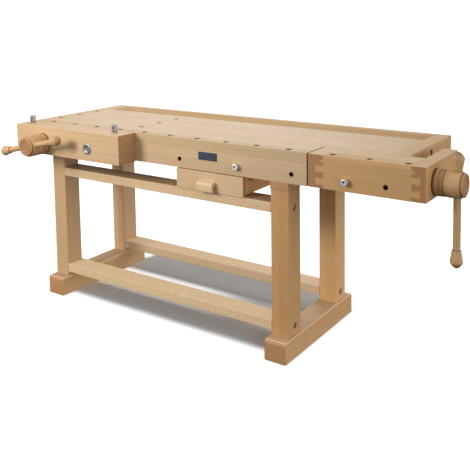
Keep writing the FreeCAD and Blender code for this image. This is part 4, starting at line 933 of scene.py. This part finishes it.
# Dogs.
def dog(name, node, shank_r, shank_l, head_r, head_l, at, direction, body, groove):
    tip = shank_l + head_l
    deep = 12 if groove else 4.5
    prof = [(0, 0), (shank_r - 1.5, 0, 1), (shank_r, 2, 1), (shank_r, shank_l, 1), (head_r - 0.7, shank_l, 1)]
    if groove:
        prof += [(head_r, shank_l + 0.7), (head_r, shank_l + 5.4, 1), (head_r - 0.5, shank_l + 6.0, 1), (head_r - 3.0, shank_l + 6.0, 1),
                 (head_r - 3.0, shank_l + 9.2, 1), (head_r - 0.5, shank_l + 9.2, 1), (head_r, shank_l + 9.8, 1)]
    else:
        prof += [(head_r, shank_l + 0.8, 1)]
    prof += [(head_r, tip - 1.5, 1), (head_r - 0.5, tip - 0.5), (head_r - 1.5, tip, 1), (7.0, tip, 1), (6.0, tip - 0.9, 1),
             (5.4, tip - 1.2, 1), (5.4, tip - deep, 1), (0, tip - deep - 1.5)]
    # painted shade in the dog's groove and in its drilled centre
    def shade_and_grime(r, h):
        if groove and shank_l + 5.9 < h < shank_l + 9.3:
            return 1.0
        return (0.85 if groove else 0.45) if r < 5.9 and h > tip - 15 else 0.0

    return turned(name, curve(prof, 4), at, direction, m_zinc_dog if groove else m_zinc_peg, body, "zinc_steel", (node,), 96, 28, dirt_and_shade=shade_and_grime)


for side in ("left", "right"):
    a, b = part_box("jaw_dog_" + side)
    dog("jaw_dog_%s_turned" % side, "jaw_dog_" + side, 12.42, 80, (b.x - a.x) * 500, (b.z - a.z) * 1000 - 80,
        Vector(((a.x + b.x) / 2, (a.y + b.y) / 2, a.z)), (0, 0, 1), "jaw_dog_" + side, True)
for nm in ("apron_dog", "tail_dog"):
    a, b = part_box(nm)
    dog(nm + "_turned", nm, 9.92, 50, (b.x - a.x) * 500, (b.y - a.y) * 1000 - 50,
        Vector(((a.x + b.x) / 2, b.y, (a.z + b.z) / 2)), (0, -1, 0), nm, False)

# Drawer pull: a moulding with a round top and a finger groove behind, its two ends eased.
a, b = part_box("drawer_pull")
section = curve([(16, 0, 1), (16, 17, 1), (16.7, 20.6), (19.2, 24.2), (23.6, 27.0), (28, 28, 1), (28, 42, 1), (15, 42, 1), (10.2, 41.4), (5.6, 39.4),
                 (2.2, 35.6), (0.5, 30.6), (0.05, 25, 1), (0.05, 5, 1), (0.6, 2.6), (1.9, 0.8), (4, 0.05, 1), (16, 0, 1)], 5)[:-1]
n = len(section)
way_in = []
for i in range(n):
    (x0, z0), (x1, z1), (x2, z2) = section[i - 1], section[i], section[(i + 1) % n]
    e1, e2 = Vector((x1 - x0, z1 - z0)).normalized(), Vector((x2 - x1, z2 - z1)).normalized()
    t2 = e1 + e2
    nrm = Vector((t2.y, -t2.x)).normalized()
    way_in.append(nrm / max(0.6, nrm.dot(Vector((e1.y, -e1.x)))))
turn = sum(section[i - 1][0] * section[i][1] - section[i][0] * section[i - 1][1] for i in range(n))
sign = 1.0 if turn < 0 else -1.0
wide = (b.x - a.x) * 1000
steps = [(0.0, 2.4), (0.18, 1.5), (0.7, 0.7), (1.5, 0.18), (2.4, 0.0)]
steps += [(wide - x, d) for x, d in reversed(steps)]
bm = bmesh.new()
rings = []
for x, d in steps:
    rings.append([bm.verts.new((a.x + x / 1000, a.y + (u0 + sign * w.x * d) / 1000, a.z + (v0 + sign * w.y * d) / 1000))
                  for (u0, v0), w in zip(section, way_in)])
for p0, p1 in zip(rings, rings[1:]):
    for i in range(n):
        j = (i + 1) % n
        bm.faces.new((p0[i], p0[j], p1[j], p1[i]))
bm.faces.new(list(reversed(rings[0])))
bm.faces.new(rings[-1])
bmesh.ops.recalc_face_normals(bm, faces=bm.faces)
# painted shade in the finger groove behind the moulding
lay = bm.faces.layers.float.new("dirt_and_shade")
for f in bm.faces:
    c = f.calc_center_median()
    if c.y - a.y > 0.0155 and c.z - a.z < 0.0285:
        f[lay] = 0.7
finish_mesh(new_piece("drawer_pull_moulding", bm, m_pull, "drawer", ("drawer_pull",)), 40)

# ------------------------------------------------------------------ stage
bm = bmesh.new()
bmesh.ops.create_grid(bm, x_segments=8, y_segments=8, size=120.0)
me = bpy.data.meshes.new("floor")
bm.to_mesh(me)
bm.free()
floor = bpy.data.objects.new("floor", me)
bpy.context.scene.collection.objects.link(floor)
m, t, bsdf = material("floor_paper")
bsdf.inputs["Base Color"].default_value = (0.90, 0.90, 0.90, 1)
bsdf.inputs["Roughness"].default_value = 1.0
bsdf.inputs["Specular IOR Level"].default_value = 0.0
me.materials.append(m)

scene = bpy.context.scene
scene.view_settings.view_transform = "Standard"
scene.view_settings.look = "None"
world = bpy.data.worlds.new("studio")
scene.world = world
world.use_nodes = True
wt = Tree(world.node_tree)
bg = next(n for n in wt.n if n.type == "BACKGROUND")
bg.inputs["Color"].default_value = (1.0, 1.0, 1.0, 1)


def lobe(direction, a, b, strength):
    """A soft bright patch of the studio round one direction."""
    n = wt.n.new("ShaderNodeVectorMath")
    n.operation = "DOT_PRODUCT"
    wt.l.new(way, n.inputs[0])
    n.inputs[1].default_value = Vector(direction).normalized()
    return wt.smooth(n.outputs["Value"], a, b, 0.0, strength)


way = wt.n.new("ShaderNodeTexCoord").outputs["Generated"]
seen = wt.n.new("ShaderNodeLightPath").outputs["Is Camera Ray"]
glow = wt.math("ADD", lobe((0, 0, 1), -0.7, 0.3, 0.17), 0.09)
glow = wt.math("ADD", glow, lobe((-0.57, 0.80, 0.20), 0.40, 0.98, 0.22))
glow = wt.math("ADD", glow, lobe((-0.40, -0.88, 0.25), 0.30, 0.95, 0.22))
glow = wt.math("ADD", glow, lobe((1.0, 0.05, 0.08), 0.35, 0.95, 1.35))
glow = wt.math("MULTIPLY", glow, wt.smooth(wt.sep(way)[2], -0.45, 0.15, 0.25, 1.0))
wt.l.new(wt.math("ADD", wt.math("MULTIPLY", glow, wt.math("SUBTRACT", 1.0, seen)), wt.math("MULTIPLY", seen, 1.05)), bg.inputs["Strength"])
floor.visible_diffuse = False
floor.visible_glossy = False


def lamp(o, at, direction):
    bpy.context.scene.collection.objects.link(o)
    o.matrix_world = place(at, direction)
    return o


def sun(name, direction, strength, angle, colour=(1, 1, 1)):
    li = bpy.data.lights.new(name, "SUN")
    li.energy = strength
    li.angle = radians(angle)
    li.color = colour
    return lamp(bpy.data.objects.new(name, li), P(900, 300, 3000), direction)


def soft(name, at, aim, size, power, colour=(1, 1, 1)):
    """A softbox at one point, turned to another; its light leaves along its own -Z."""
    li = bpy.data.lights.new(name, "AREA")
    li.shape = "RECTANGLE"
    li.size, li.size_y = size
    li.energy = power
    li.color = colour
    return lamp(bpy.data.objects.new(name, li), at, at - aim)


def link_set(name, objs, state):
    c = bpy.data.collections.new(name)
    for o in objs:
        c.objects.link(o)
    for co in c.collection_objects:
        co.light_linking.link_state = state
    return c


not_floor = link_set("not_floor", [floor], "EXCLUDE")
key = soft("key", P(-450, -2500, 1800), P(700, 0, 560), (0.9, 0.9), 63, (1.0, 0.985, 0.955))
over = soft("over", P(600, -150, 3000), P(900, 150, 800), (3.2, 2.2), 21, (1.0, 0.98, 0.965))
for o in (key, over):
    o.light_linking.receiver_collection = not_floor
tops = ("top_slab", "front_apron", "end_cap_left", "end_cap_right", "rear_rail", "tray_floor", "tray_ramp", "front_jaw_block",
        "tail_front_board", "tail_jaw_block", "tail_end_block", "tail_top_strip")
sheen = soft("sheen", P(-1700, 4000, 2000), P(900, 250, 860), (3.6, 2.4), 30, (1.0, 0.93, 0.89))
sheen.light_linking.receiver_collection = link_set("top_faces", [o for o in bpy.data.objects if o.name.split("_board")[0] in tops and o.name not in nodes], "INCLUDE")
low = [o for o in bpy.data.objects if o.type == "MESH" and not o.hide_render and o.name.split("_board")[0] in
       ("foot_left", "foot_right", "stretcher_front", "stretcher_rear", "rail_upper", "drawer_front", "drawer_bottom")]
# Two studio flags under the stretchers, seen by the floor's lamp only: they widen the stand's shadow.
flags = []
for node, y0, y1 in (("stretcher_front", 3, 178), ("stretcher_rear", 405, 650)):
    a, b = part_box(node)
    x0, x1 = (a.x * 1000 + OX + 4, b.x * 1000 + OX - 4)
    bm = bmesh.new()
    c = [bm.verts.new(P(x, y, 84)) for x, y in ((x0, y0), (x1, y0), (x1, y1), (x0, y1))]
    bm.faces.new(c)
    me = bpy.data.meshes.new("flag")
    bm.to_mesh(me)
    bm.free()
    o = bpy.data.objects.new("flag_" + node, me)
    scene.collection.objects.link(o)
    me.materials.append(floor.data.materials[0])
    for ray in ("visible_camera", "visible_diffuse", "visible_glossy", "visible_transmission", "visible_volume_scatter"):
        setattr(o, ray, False)
    flags.append(o)
low += flags
no_flags = link_set("no_flags", flags, "EXCLUDE")
floor_only = link_set("floor_only", [floor], "INCLUDE")
low_frame = link_set("low_frame", low, "INCLUDE")
under = sun("floor_light", (0.0, -0.30, 1.0), 3.0, 34)
under.light_linking.receiver_collection = floor_only
under.light_linking.blocker_collection = low_frame
stand = [o for o in low if o.name.split("_board")[0] in ("foot_left", "foot_right", "stretcher_front", "stretcher_rear")]
rear = soft("rear", P(800, 2600, 2500), P(800, 300, 60), (2.6, 1.2), 46, (1.0, 0.96, 0.91))
rear.light_linking.receiver_collection = link_set("stand_tops", stand, "INCLUDE")
pegs = [o for o in bpy.data.objects if o.name in ("apron_dog_turned", "tail_dog_turned")]
glint = soft("glint", P(-700, -2300, 560), P(936, 0, 768), (2.2, 1.6), 12, (1.0, 0.97, 0.90))
glint.light_linking.receiver_collection = link_set("pegs", pegs, "INCLUDE")

feet = [o for o in low if o.name.split("_board")[0] in ("foot_left", "foot_right")]
fill = soft("foot_fill", P(800, 300, 2600), P(800, 300, 0), (1.6, 1.0), 26, (1.0, 0.98, 0.95))
fill.light_linking.receiver_collection = link_set("feet", feet, "INCLUDE")
fill.light_linking.blocker_collection = link_set("feet_block", feet, "INCLUDE")
for o in (key, over, sheen, rear, glint):
    o.light_linking.blocker_collection = no_flags

# ------------------------------------------------------------------ camera
yaw, pit, rol, F, CX, CY = -0.6101, -0.1018, -0.0157, 722.7249, 226.8926, 76.0308
f = Vector((sin(yaw) * cos(pit), cos(yaw) * cos(pit), sin(pit)))
r = Vector((cos(yaw), -sin(yaw), 0))
u = r.cross(f)
r2 = cos(rol) * r + sin(rol) * u
u2 = -sin(rol) * r + cos(rol) * u
cam_data = bpy.data.cameras.new("camera")
cam = bpy.data.objects.new("camera", cam_data)
scene.collection.objects.link(cam)
C = P(2875.2944, -2405.6976, 1440.0217)
cam.matrix_world = Matrix(((r2.x, u2.x, -f.x, C.x), (r2.y, u2.y, -f.y, C.y), (r2.z, u2.z, -f.z, C.z), (0, 0, 0, 1)))
cam_data.sensor_fit = "HORIZONTAL"
cam_data.sensor_width = 36.0
cam_data.lens = F / 470 * 36
cam_data.shift_x = (235 - CX) / 470
cam_data.shift_y = (CY - 235) / 470
cam_data.clip_end = 500
scene.camera = cam
